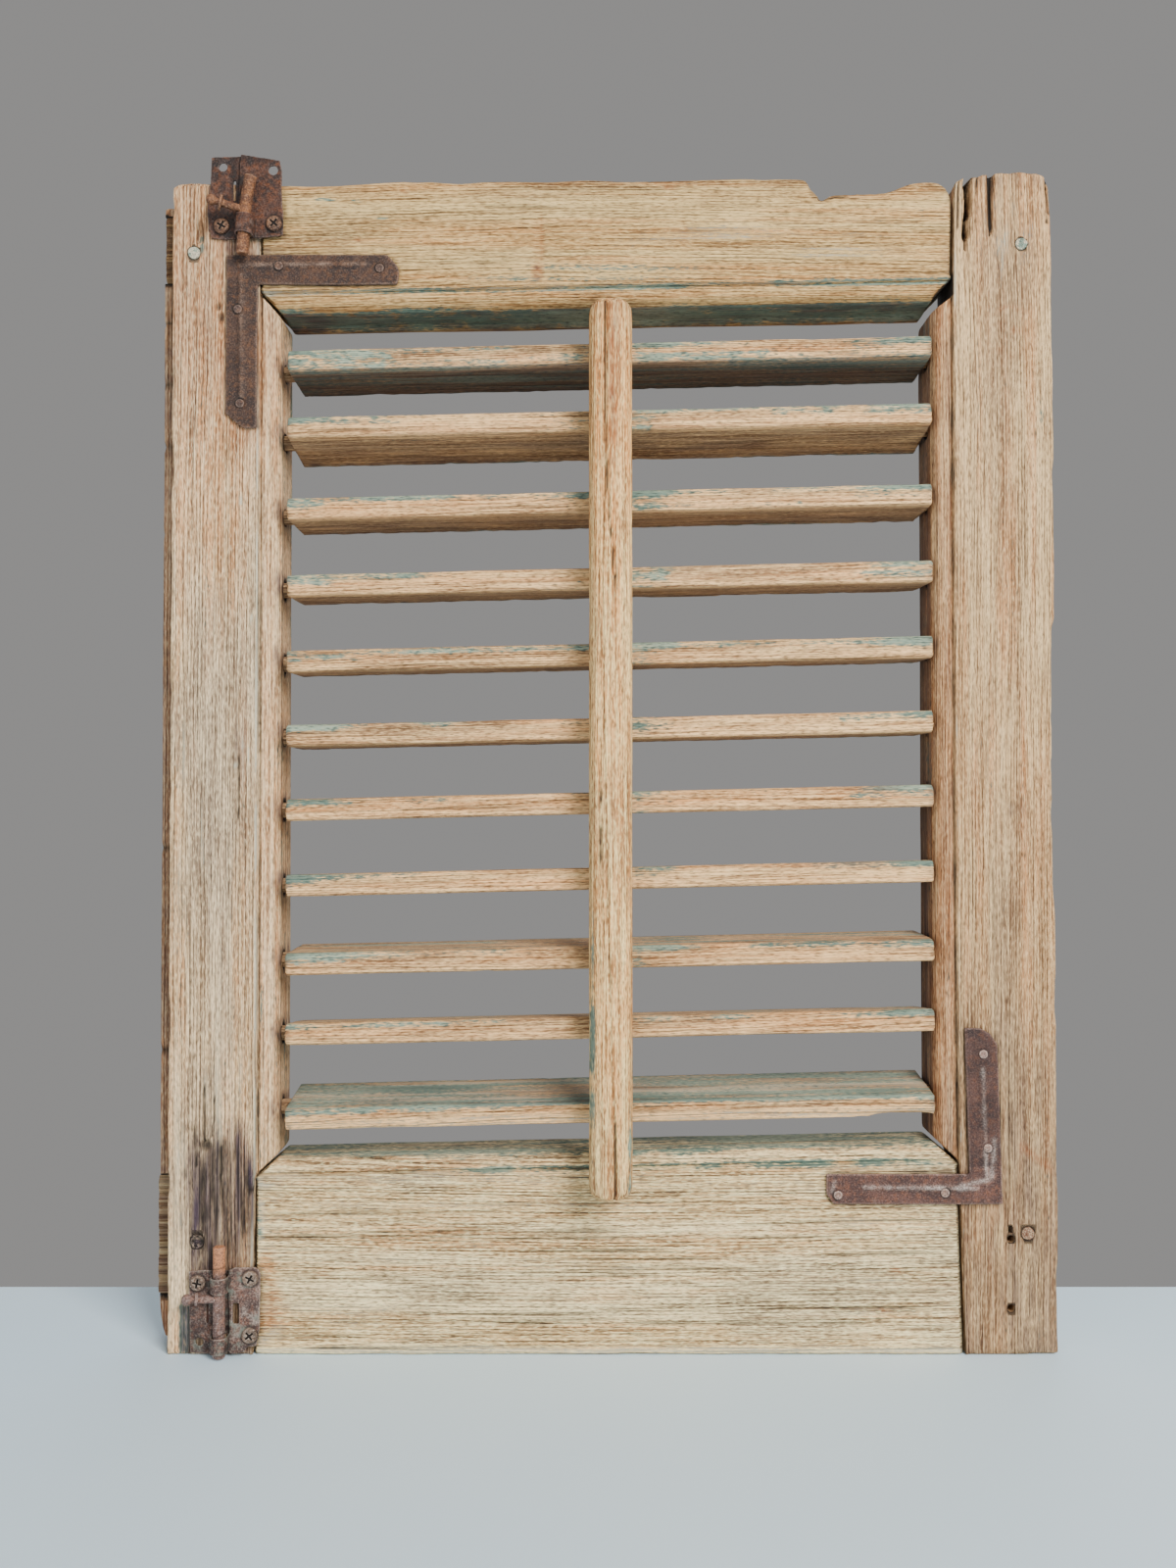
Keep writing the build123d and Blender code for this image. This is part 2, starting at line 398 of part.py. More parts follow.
rb_rod = cyl((BB_AX, BB_AY, 0.3), (BB_AX, BB_AY, 49.6), ROD_R)
rb_rod = fillet(rb_rod.edges().filter_by(GeomType.CIRCLE), 0.6)
rb_rod = lone(rb_rod)
save("bolt_rod_bottom", rb_rod)
kp0 = Vector(BB_AX, BB_AY - 0.4, 26.6)
kd = Vector(-0.965, -0.25, 0.06)
knob = turned(kp0, kd, 1.0, 1.85, 9.0, 2.7, 10.2, 1.3, 11.4, 2.5)
knob = lone(knob - rb_rod)
save("bolt_knob_bottom", knob)

save("joint_pegs", *pegs)
print("done")
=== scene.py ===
import bpy
import bmesh
import math
import numpy as np
from mathutils import Vector, Matrix


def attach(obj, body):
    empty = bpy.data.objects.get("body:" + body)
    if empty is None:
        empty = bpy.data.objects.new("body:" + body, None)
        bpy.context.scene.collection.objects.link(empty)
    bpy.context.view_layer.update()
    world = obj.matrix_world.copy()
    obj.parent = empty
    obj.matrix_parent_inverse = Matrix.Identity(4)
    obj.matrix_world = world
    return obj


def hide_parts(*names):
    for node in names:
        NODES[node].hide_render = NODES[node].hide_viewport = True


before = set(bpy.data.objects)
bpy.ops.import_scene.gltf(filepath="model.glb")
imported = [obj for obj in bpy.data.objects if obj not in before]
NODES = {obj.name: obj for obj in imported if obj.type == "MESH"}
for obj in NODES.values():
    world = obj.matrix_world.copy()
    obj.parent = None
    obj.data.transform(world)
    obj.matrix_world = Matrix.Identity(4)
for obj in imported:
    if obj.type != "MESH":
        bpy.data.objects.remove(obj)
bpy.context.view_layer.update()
MM = 0.001

# =====================================================================
# camera, light, floor
# =====================================================================
cam_data = bpy.data.cameras.new("camera")
cam_data.sensor_width = 36.0
cam_data.lens = 30.375
cam_data.clip_start = 0.01
cam = bpy.data.objects.new("camera", cam_data)
bpy.context.scene.collection.objects.link(cam)
cam.location = (-0.0068, -0.610, 0.2455)
cam.rotation_euler = (math.radians(90.95), 0.0, 0.0)
bpy.context.scene.camera = cam


def area(name, loc, target, size, energy, color=(1, 1, 1), size_y=None):
    d = bpy.data.lights.new(name, "AREA")
    d.energy = energy
    d.color = color
    d.size = size
    if size_y:
        d.shape = "RECTANGLE"
        d.size_y = size_y
    o = bpy.data.objects.new(name, d)
    bpy.context.scene.collection.objects.link(o)
    o.location = loc
    o.rotation_euler = (Vector(target) - Vector(loc)).to_track_quat("-Z", "Y").to_euler()
    return o


area("key", (0.85, -1.50, 1.20), (-0.05, 0.0, 0.20), 0.8, 60.0, (1.0, 0.965, 0.915), 1.1)
area("fill", (-1.5, -1.5, 0.45), (-0.1, 0.0, 0.12), 1.4, 19.0, (0.94, 0.97, 1.0), 1.4)
area("back", (0.3, 1.7, 1.3), (0.0, 0.0, 0.3), 1.8, 12.0, (0.95, 0.97, 1.0), 1.4)

world = bpy.data.worlds.new("world")
bpy.context.scene.world = world
world.use_nodes = True
bg = world.node_tree.nodes["Background"]
bg.inputs["Color"].default_value = (0.285, 0.280, 0.276, 1.0)
bg.inputs["Strength"].default_value = 1.0

# =====================================================================
# small numeric helpers
# =====================================================================
def _hash(ix, iy, iz, seed):
    n = (ix.astype(np.int64) * 374761393 + iy.astype(np.int64) * 668265263 + iz.astype(np.int64) * 1442695041 + seed * 1274126177) & 0xFFFFFFFF
    n = ((n ^ (n >> 13)) * 1274126177) & 0xFFFFFFFF
    n = ((n ^ (n >> 16)) * 2246822519) & 0xFFFFFFFF
    n = n ^ (n >> 15)
    return (n & 0xFFFFFF).astype(np.float64) / float(0xFFFFFF)


def vn(x, y, z, seed=0):
    """Smooth value noise, -1 to 1."""
    x, y, z = np.broadcast_arrays(np.asarray(x, float), np.asarray(y, float), np.asarray(z, float))
    ix, iy, iz = np.floor(x), np.floor(y), np.floor(z)
    fx, fy, fz = x - ix, y - iy, z - iz
    ux, uy, uz = fx * fx * (3 - 2 * fx), fy * fy * (3 - 2 * fy), fz * fz * (3 - 2 * fz)
    r = 0.0
    for a in (0, 1):
        wx = ux if a else 1 - ux
        for b in (0, 1):
            wy = uy if b else 1 - uy
            for c in (0, 1):
                wz = uz if c else 1 - uz
                r = r + wx * wy * wz * _hash(ix + a, iy + b, iz + c, seed)
    return r * 2 - 1


def fbm(x, y, z, seed=0, octaves=3, gain=0.5):
    r, amp, tot = 0.0, 1.0, 0.0
    for o in range(octaves):
        k = 2.0 ** o
        r = r + amp * vn(x * k, y * k, z * k, seed + 17 * o)
        tot += amp
        amp *= gain
    return r / tot


def sstep(a, b, x):
    t = np.clip((x - a) / (b - a), 0, 1)
    return t * t * (3 - 2 * t)


def blob(x, z, cx, cz, rx, rz, power=2.0):
    d = (np.abs((x - cx) / rx) ** power + np.abs((z - cz) / rz) ** power)
    return np.clip(1.0 - d, 0, 1) ** 0.7


def seg_dist(x, z, a, b):
    """Distance to a segment and the parameter along it."""
    ax, az = a
    bx, bz = b
    dx, dz = bx - ax, bz - az
    t = np.clip(((x - ax) * dx + (z - az) * dz) / (dx * dx + dz * dz), 0, 1)
    return np.hypot(x - ax - t * dx, z - az - t * dz), t


def pieces_between(points, counts):
    """Points along a polyline, each leg divided in counts parts."""
    out = [points[0]]
    for (a, b), n in zip(zip(points[:-1], points[1:]), counts):
        for i in range(1, n + 1):
            f = i / n
            out.append(tuple(pa + (pb - pa) * f for pa, pb in zip(a, b)))
    return np.array(out, float)


def stations(lo, hi, step, dense=()):
    """Station positions with extra density in given windows (a, b, step)."""
    z, out = lo, [lo]
    while z < hi - 1e-6:
        s = step
        for a, b, d in dense:
            if a - d <= z <= b:
                s = min(s, d)
        z = min(z + s, hi)
        out.append(z)
    if out[-1] - out[-2] < 0.3 * step and len(out) > 3:
        out.pop(-2)
    return np.array(out)


# =====================================================================
# lattice solids: the surface of a box grid, mapped to any shape
# =====================================================================
def lattice(ns, nt, nu):
    I = np.arange((ns + 1) * (nt + 1) * (nu + 1)).reshape(ns + 1, nt + 1, nu + 1)
    f = []

    def q(a, b, c, d):
        f.append(np.stack([a.ravel(), b.ravel(), c.ravel(), d.ravel()], -1))
    A = I[:, 0, :]; q(A[:-1, :-1], A[1:, :-1], A[1:, 1:], A[:-1, 1:])
    A = I[:, nt, :]; q(A[:-1, :-1], A[:-1, 1:], A[1:, 1:], A[1:, :-1])
    A = I[0, :, :]; q(A[:-1, :-1], A[:-1, 1:], A[1:, 1:], A[1:, :-1])
    A = I[ns, :, :]; q(A[:-1, :-1], A[1:, :-1], A[1:, 1:], A[:-1, 1:])
    A = I[:, :, 0]; q(A[:-1, :-1], A[:-1, 1:], A[1:, 1:], A[1:, :-1])
    A = I[:, :, nu]; q(A[:-1, :-1], A[1:, :-1], A[1:, 1:], A[:-1, 1:])
    F = np.concatenate(f)
    used, inv = np.unique(F, return_inverse=True)
    F = inv.reshape(F.shape)
    ijk = np.stack(np.unravel_index(used, I.shape), -1)
    return ijk, F


def normals(P, F):
    a, b, c, d = P[F[:, 0]], P[F[:, 1]], P[F[:, 2]], P[F[:, 3]]
    fn = np.cross(c - a, d - b)
    ln = np.linalg.norm(fn, axis=1, keepdims=True)
    unit = fn / np.maximum(ln, 1e-12)
    N = np.zeros_like(P)
    cnt = np.zeros(len(P))
    for k in range(4):
        np.add.at(N, F[:, k], unit)
        np.add.at(cnt, F[:, k], (ln[:, 0] > 1e-9) * 1.0)
    mean = np.linalg.norm(N, axis=1) / np.maximum(cnt, 1)
    return N / np.maximum(np.linalg.norm(N, axis=1, keepdims=True), 1e-12), 1.0 - mean


def edges_of(F):
    e = np.concatenate([F[:, [0, 1]], F[:, [1, 2]], F[:, [2, 3]], F[:, [3, 0]]])
    e.sort(axis=1)
    return np.unique(e, axis=0)


def neighbour_mean(V, E, deg):
    S = np.zeros_like(V)
    np.add.at(S, E[:, 0], V[E[:, 1]])
    np.add.at(S, E[:, 1], V[E[:, 0]])
    return S / (deg[:, None] if V.ndim == 2 else deg)


def wear_edges(P, F, amount, iters=6, lo=0.04, hi=0.22):
    """Rounds sharp edges; amount is a per-vertex factor (0 to 1)."""
    E = edges_of(F)
    deg = np.bincount(E.ravel(), minlength=len(P)).astype(float)
    _, sh = normals(P, F)
    w = np.clip((sh - lo) / (hi - lo), 0, 1)
    w = np.maximum(w, 0.75 * neighbour_mean(w, E, deg) * 2)
    w = np.clip(w, 0, 1) * amount
    for _i in range(iters):
        P = P + (w * 0.6)[:, None] * (neighbour_mean(P, E, deg) - P)
    return P


def orient(P, F):
    a, b, c, d = P[F[:, 0]], P[F[:, 1]], P[F[:, 2]], P[F[:, 3]]
    vol = np.einsum("ij,ij->i", a, np.cross(b, c)).sum() + np.einsum("ij,ij->i", a, np.cross(c, d)).sum()
    return F[:, ::-1].copy() if vol < 0 else F


def make_mesh(name, P, F, attrs=None, smooth=True):
    """P in millimetres."""
    me = bpy.data.meshes.new(name)
    n, m = len(P), len(F)
    me.vertices.add(n)
    me.vertices.foreach_set("co", (P * MM).astype(np.float32).ravel())
    k = F.shape[1]
    me.loops.add(m * k)
    me.loops.foreach_set("vertex_index", F.astype(np.int32).ravel())
    me.polygons.add(m)
    me.polygons.foreach_set("loop_start", (np.arange(m) * k).astype(np.int32))
    me.polygons.foreach_set("use_smooth", np.full(m, smooth))
    me.update(calc_edges=True)
    for an, val in (attrs or {}).items():
        val = np.asarray(val, np.float32)
        if val.ndim == 1:
            at = me.attributes.new(an, "FLOAT", "POINT")
            at.data.foreach_set("value", val)
        elif val.shape[1] == 3:
            at = me.attributes.new(an, "FLOAT_VECTOR", "POINT")
            at.data.foreach_set("vector", val.ravel())
        else:
            at = me.attributes.new(an, "FLOAT_COLOR", "POINT")
            at.data.foreach_set("color", val.ravel())
    me.validate()
    ob = bpy.data.objects.new(name, me)
    bpy.context.scene.collection.objects.link(ob)
    return ob


def join_arrays(parts):
    """Joins (P, F, attrs) shells in one set of arrays."""
    P = np.concatenate([p[0] for p in parts])
    off, Fs = 0, []
    for p in parts:
        Fs.append(p[1] + off)
        off += len(p[0])
    attrs = {}
    for key in parts[0][2]:
        attrs[key] = np.concatenate([p[2][key] for p in parts])
    return P, np.concatenate(Fs), attrs


def boolean(ob, cutter, op="DIFFERENCE"):
    mod = ob.modifiers.new("bool", "BOOLEAN")
    mod.operation = op
    mod.solver = "EXACT"
    mod.object = cutter
    dg = bpy.context.evaluated_depsgraph_get()
    me = bpy.data.meshes.new_from_object(ob.evaluated_get(dg))
    ob.modifiers.clear()
    old = ob.data
    ob.data = me
    me.name = ob.name
    bpy.data.meshes.remove(old)
    bpy.data.objects.remove(cutter)
    me.polygons.foreach_set("use_smooth", np.full(len(me.polygons), True))
    return ob


def fill_cuts(ob):
    """Colours for the faces made by cuts and unions: hole walls painted near black as shade, dirty tenon ends."""
    me = ob.data
    n = len(me.vertices)
    co = np.zeros(n * 3, np.float32); me.vertices.foreach_get("co", co)
    x, y, z = (co.reshape(n, 3) / MM).T
    got = {}
    for an in ("mT", "mA", "mB"):
        a = np.zeros(n * 4, np.float32); me.attributes[an].data.foreach_get("color", a)
        got[an] = a.reshape(n, 4)
    lost = got["mT"].min(1) > 0.9999
    end = (np.abs(x) > 195.6) & ob.name.startswith("rail")
    wall = lost & ~end
    got["mT"][lost] = tone(x, z, y, 77)[lost]
    rim = np.abs(y - YF) < 0.6
    # painted shade: the hole walls made near black and stained
    got["mB"][wall] = (0.97, 0.0, 0.0, 1.0)
    got["mB"][wall & rim, 0] = 0.72
    got["mA"][wall] = (0.0, 0.0, 0.8, 1.0)
    k = np.clip(0.75 + 0.9 * vn(z / 1.3, y / 3.0, 0.2, 78), 0, 1)
    got["mA"][end, 2] = (np.where(x < 0, 0.85, 0.5) * k)[end]
    got["mB"][end, 1] = 0.3
    got["mB"][end, 2] = 0.6
    got["mB"][end, 0] = (0.30 * (x < 0) * np.clip(vn(z / 0.9, 0.3, 0.2, 79) + 0.2, 0, 1))[end]
    for an, a in got.items():
        me.attributes[an].data.foreach_set("color", a.astype(np.float32).ravel())


def volume(ob):
    bm = bmesh.new()
    bm.from_mesh(ob.data)
    v = bm.calc_volume(signed=True) * 1e9
    bm.free()
    return v


def cut(ob, groups, depth=0):
    """Subtracts groups of separate shapes; a group that fails is cut shape by shape."""
    for g in groups:
        before = volume(ob)
        back = ob.data.copy()
        boolean(ob, cutter(g))
        v = volume(ob)
        if 0.8 * before < v <= before * 1.0005:
            bpy.data.meshes.remove(back)
            continue
        bad = ob.data
        ob.data = back
        bpy.data.meshes.remove(bad)
        if len(g) > 1:
            cut(ob, [[one] for one in g], depth)
        elif depth < 2:
            P, F = g[0]
            c = P.mean(0)
            k = 1.0 + 0.013 * (depth + 1)
            cut(ob, [[(c + (P - c) * k + np.array([0.031, 0.0, 0.017]), F)]], depth + 1)
        else:
            print("CUT left out on", ob.name, g[0][0].mean(0))
    return ob


def tube_arrays(p, q, r, n=20, rings=4):
    """Closed cylinder between two points, in rings of quads (for cutters)."""
    p, q = np.array(p, float), np.array(q, float)
    d = (q - p) / np.linalg.norm(q - p)
    a = np.cross(d, [0, 0, 1.0]) if abs(d[2]) < 0.9 else np.cross(d, [1.0, 0, 0])
    a /= np.linalg.norm(a)
    b = np.cross(d, a)
    th = np.linspace(0, 2 * np.pi, n, endpoint=False)
    ring = r * (np.cos(th)[:, None] * a + np.sin(th)[:, None] * b)
    V = [p + ring + (q - p) * k / rings for k in range(rings + 1)]
    P = np.concatenate(V + [p[None], q[None]])
    F = []
    for k in range(rings):
        for i in range(n):
            j = (i + 1) % n
            F.append((k * n + i, k * n + j, (k + 1) * n + j, (k + 1) * n + i))
    c0, c1 = (rings + 1) * n, (rings + 1) * n + 1
    for i in range(0, n, 2):
        j, l = (i + 1) % n, (i + 2) % n
        F.append((c0, l, j, i))
        F.append((c1, rings * n + i, rings * n + j, rings * n + l))
    F = np.array(F)
    return P, orient(P, F)


def box_arrays(x0, x1, y0, y1, z0, z1):
    ijk, F = lattice(1, 1, 1)
    P = np.array([x0, y0, z0]) + ijk * np.array([x1 - x0, y1 - y0, z1 - z0])
    return P.astype(float), orient(P.astype(float), F)


def cutter(shapes):
    parts = [(P, F, {}) for P, F in shapes]
    P, F, _ = join_arrays(parts)
    return make_mesh("cutter", P, F, {}, False)


# =====================================================================
# materials
# =====================================================================
class G:
    """Small node-tree writer."""

    def __init__(self, name):
        self.mat = bpy.data.materials.new(name)
        self.mat.use_nodes = True
        self.t = self.mat.node_tree
        self.t.nodes.clear()
        self.out = self.n("ShaderNodeOutputMaterial")
        self.bsdf = self.n("ShaderNodeBsdfPrincipled")
        self.l(self.bsdf.outputs[0], self.out.inputs[0])

    def n(self, kind, **kw):
        nd = self.t.nodes.new(kind)
        for k, v in kw.items():
            setattr(nd, k, v)
        return nd

    def l(self, a, b):
        self.t.links.new(a, b)

    def _in(self, sock, v):
        if isinstance(v, bpy.types.NodeSocket):
            self.l(v, sock)
        else:
            sock.default_value = v

    def attr(self, name, what="Fac"):
        return self.n("ShaderNodeAttribute", attribute_name=name).outputs[what]

    def split(self, col):
        s = self.n("ShaderNodeSeparateColor")
        self.l(col, s.inputs[0])
        return s.outputs

    def math(self, op, a, b=None, c=None, clamp=False):
        m = self.n("ShaderNodeMath", operation=op, use_clamp=clamp)
        self._in(m.inputs[0], a)
        if b is not None:
            self._in(m.inputs[1], b)
        if c is not None:
            self._in(m.inputs[2], c)
        return m.outputs[0]

    def vmul(self, v, k):
        m = self.n("ShaderNodeVectorMath", operation="MULTIPLY")
        self._in(m.inputs[0], v)
        m.inputs[1].default_value = k
        return m.outputs[0]

    def vadd(self, v, k):
        m = self.n("ShaderNodeVectorMath", operation="ADD")
        self._in(m.inputs[0], v)
        self._in(m.inputs[1], k)
        return m.outputs[0]

    def noise(self, v, scale=1.0, detail=3.0, rough=0.55, lac=2.0, dist=0.0, what="Fac"):
        nd = self.n("ShaderNodeTexNoise")
        self.l(v, nd.inputs["Vector"])
        nd.inputs["Scale"].default_value = scale
        nd.inputs["Detail"].default_value = detail
        nd.inputs["Roughness"].default_value = rough
        nd.inputs["Lacunarity"].default_value = lac
        nd.inputs["Distortion"].default_value = dist
        return nd.outputs[what]

    def voronoi(self, v, scale=1.0, feature="F1", what="Distance", rand=1.0):
        nd = self.n("ShaderNodeTexVoronoi", feature=feature)
        self.l(v, nd.inputs["Vector"])
        nd.inputs["Scale"].default_value = scale
        nd.inputs["Randomness"].default_value = rand
        return nd.outputs[what]

    def white(self, w):
        nd = self.n("ShaderNodeTexWhiteNoise", noise_dimensions="1D")
        self.l(w, nd.inputs["W"])
        return nd.outputs["Value"]

    def ramp(self, f, stops, interp="LINEAR"):
        nd = self.n("ShaderNodeValToRGB")
        self.l(f, nd.inputs[0])
        cr = nd.color_ramp
        cr.interpolation = interp
        while len(cr.elements) < len(stops):
            cr.elements.new(0.5)
        for e, (p, c) in zip(cr.elements, stops):
            e.position = p
            e.color = (c, c, c, 1) if isinstance(c, (int, float)) else tuple(c) + (1,)
        return nd.outputs[0]

    def step(self, f, a, b):
        nd = self.n("ShaderNodeMapRange", interpolation_type="SMOOTHSTEP")
        self._in(nd.inputs[0], f)
        nd.inputs[1].default_value = a
        nd.inputs[2].default_value = b
        nd.inputs[3].default_value = 0.0
        nd.inputs[4].default_value = 1.0
        return nd.outputs[0]

    def remap(self, f, a, b, c, d):
        nd = self.n("ShaderNodeMapRange")
        self._in(nd.inputs[0], f)
        for i, v in enumerate((a, b, c, d)):
            nd.inputs[1 + i].default_value = v
        return nd.outputs[0]

    def mix(self, f, a, b, mode="MIX"):
        nd = self.n("ShaderNodeMix", data_type="RGBA", blend_type=mode)
        self._in(nd.inputs[0], f)
        for s, v in ((nd.inputs[6], a), (nd.inputs[7], b)):
            if isinstance(v, bpy.types.NodeSocket):
                self.l(v, s)
            else:
                s.default_value = tuple(v) + (1,) if len(v) == 3 else v
        return nd.outputs[2]

    def bump(self, h, strength, dist, normal=None):
        nd = self.n("ShaderNodeBump")
        self.l(h, nd.inputs["Height"])
        nd.inputs["Strength"].default_value = strength
        nd.inputs["Distance"].default_value = dist
        if normal is not None:
            self.l(normal, nd.inputs["Normal"])
        return nd.outputs[0]


def srgb(r, g, b):
    """0-255 sRGB to linear."""
    def f(c):
        c = c / 255.0
        return c / 12.92 if c <= 0.04045 else ((c + 0.055) / 1.055) ** 2.4
    return (f(r), f(g), f(b))


def wood_material(name, light, mid, late, orange, grey, line=0.55, tint=(1.0, 1.0, 1.0), fibre=1.0, stain_shade_colours=((104, 82, 80), (40, 31, 38))):
    """Weathered softwood.  Reads the ring, grain-position and mask attributes of the mesh."""
    g = G(name)
    gp = g.attr("gp", "Vector")
    ring = g.attr("ring")
    A = g.split(g.attr("mA", "Color"))
    B = g.split(g.attr("mB", "Color"))
    paint, pale, stain_and_shade = A[0], A[1], A[2]
    dark, rust, greyer = B[0], B[1], B[2]
    orange_m = g.attr("mO")
    light_m = g.attr("mL")
    T = g.n("ShaderNodeAttribute", attribute_name="mT")
    Ts = g.split(T.outputs["Color"])
    n_mid, n_low, n_str, n_dirt = Ts[0], Ts[1], Ts[2], T.outputs["Alpha"]
    n_fib = g.noise(g.vmul(gp, (24, 1500, 1500)), 1, 1, 0.6)
    n_spk = g.noise(g.vmul(gp, (320, 1800, 1800)), 1, 1, 0.6)
    n_med = g.noise(g.vmul(gp, (42, 640, 640)), 1, 2, 0.6)
    # growth rings: late wood darkens slowly and ends sharply
    r2 = g.math("ADD", ring, g.math("ADD", g.math("MULTIPLY", g.math("SUBTRACT", n_str, 0.5), 0.5), g.math("MULTIPLY", g.math("SUBTRACT", n_fib, 0.5), 0.25)))
    fr = g.math("FRACT", r2)
    late_line = g.ramp(fr, [(0.0, 0.12), (0.06, 0.0), (0.46, 0.02), (0.66, 0.24), (0.79, 1.0), (0.93, 0.96), (1.0, 0.12)])
    each = g.remap(g.white(g.math("FLOOR", r2)), 0.0, 1.0, 0.22, 1.15)
    fade = g.step(g.math("ADD", g.math("MULTIPLY", n_mid, 0.55), g.math("MULTIPLY", n_dirt, 0.5)), 0.36, 0.66)
    brk = g.remap(n_fib, 0.3, 0.7, 0.72, 1.12)
    lines = g.math("MULTIPLY", g.math("MULTIPLY", g.math("MULTIPLY", late_line, each), brk), g.math("ADD", g.math("MULTIPLY", fade, 0.6), 0.45), clamp=True)
    col = g.mix(g.step(n_mid, 0.34, 0.66), light, mid)
    col = g.mix(g.math("MULTIPLY", g.step(n_str, 0.48, 0.78), 0.5), col, orange)
    col = g.mix(g.math("MULTIPLY", g.step(n_low, 0.50, 0.72), 0.65), col, grey)
    col = g.mix(g.math("MULTIPLY", greyer, 0.75), col, grey)
    col = g.mix(g.math("MULTIPLY", orange_m, g.remap(n_str, 0.25, 0.75, 0.3, 1.0)), col, orange)
    col = g.mix(g.math("MULTIPLY", g.step(n_dirt, 0.56, 0.86), 0.42), col, tuple(c * 1.1 for c in late))
    col = g.mix(g.math("MULTIPLY", light_m, g.remap(n_str, 0.3, 0.7, 0.9, 0.45)), col, tuple(min(1, c * 1.22 + 0.02) for c in light))
    col = g.mix(g.math("MULTIPLY", lines, line), col, late)
    # streaks, fine fibres and speckle
    col = g.mix(g.math("MULTIPLY", g.step(n_med, 0.52, 0.70), 0.46 * fibre), col, tuple(c * 1.15 for c in late))
    col = g.mix(g.math("MULTIPLY", g.step(n_med, 0.47, 0.30), 0.40 * fibre), col, tuple(min(1, c * 1.22 + 0.03) for c in light))
    col = g.mix(g.math("MULTIPLY", g.step(n_fib, 0.5, 0.68), 0.42 * fibre), col, late)
    col = g.mix(g.math("MULTIPLY", g.step(n_fib, 0.48, 0.32), 0.36 * fibre), col, tuple(min(1, c * 1.25 + 0.05) for c in light))
    col = g.mix(g.math("MULTIPLY", g.step(n_spk, 0.52, 0.67), 0.4 * fibre), col, tuple(c * 0.6 for c in late))
    col = g.mix(g.math("MULTIPLY", g.step(n_spk, 0.47, 0.32), 0.36 * fibre), col, tuple(min(1, c * 1.3 + 0.05) for c in light))
    col = g.mix(1.0, col, tint, "MULTIPLY")
    # chalky remains in the grain; the pale mask also carries a painted highlight line at the left stile's foot
    pf = g.math("ADD", pale, g.math("ADD", g.math("MULTIPLY", g.math("SUBTRACT", n_fib, 0.5), 0.9), g.math("MULTIPLY", g.math("SUBTRACT", n_spk, 0.5), 0.7)))
    col = g.mix(g.math("MULTIPLY", g.step(pf, 0.35, 0.8), 0.75), col, srgb(208, 202, 178))
    # green paint, broken up along the grain
    pp = g.math("ADD", paint, g.math("ADD", g.math("MULTIPLY", g.math("SUBTRACT", n_str, 0.5), 1.0), g.math("MULTIPLY", g.math("SUBTRACT", n_spk, 0.5), 1.3)))
    pcol = g.mix(g.step(n_low, 0.3, 0.75), srgb(94, 128, 118), srgb(152, 170, 150))
    pcol = g.mix(g.math("MULTIPLY", g.step(n_spk, 0.48, 0.68), 0.8), pcol, srgb(72, 100, 94))
    col = g.mix(g.math("MULTIPLY", g.step(pp, 0.40, 0.74), 0.9), col, pcol)
    # stains, together with the painted shade carried by the same mask
    sf = g.math("MULTIPLY", stain_and_shade, g.remap(n_str, 0.3, 0.6, 1.0, 0.62))
    scol = g.mix(g.step(n_fib, 0.38, 0.6), srgb(*stain_shade_colours[0]), srgb(*stain_shade_colours[1]))
    col = g.mix(sf, col, scol)
    rf = g.math("MULTIPLY", rust, g.remap(n_spk, 0.3, 0.7, 0.5, 1.0))
    col = g.mix(rf, col, srgb(150, 82, 42))
    col = g.mix(g.math("MULTIPLY", g.step(n_spk, 0.62, 0.78), 0.4), col, tuple(c * 0.3 for c in late))
    col = g.mix(dark, col, (0.018, 0.013, 0.010))
    g.l(col, g.bsdf.inputs["Base Color"])
    g.l(g.remap(n_fib, 0.2, 0.8, 0.72, 0.92), g.bsdf.inputs["Roughness"])
    g.bsdf.inputs["Specular IOR Level"].default_value = 0.28
    h = g.math("ADD", g.math("MULTIPLY", n_spk, -0.7), g.math("MULTIPLY", n_fib, -1.1))
    h = g.math("SUBTRACT", h, g.math("MULTIPLY", dark, 0.8))
    h = g.math("SUBTRACT", h, g.math("MULTIPLY", lines, 1.0))
    g.l(g.bump(h, 1.0, 0.00055), g.bsdf.inputs["Normal"])
    return g.mat


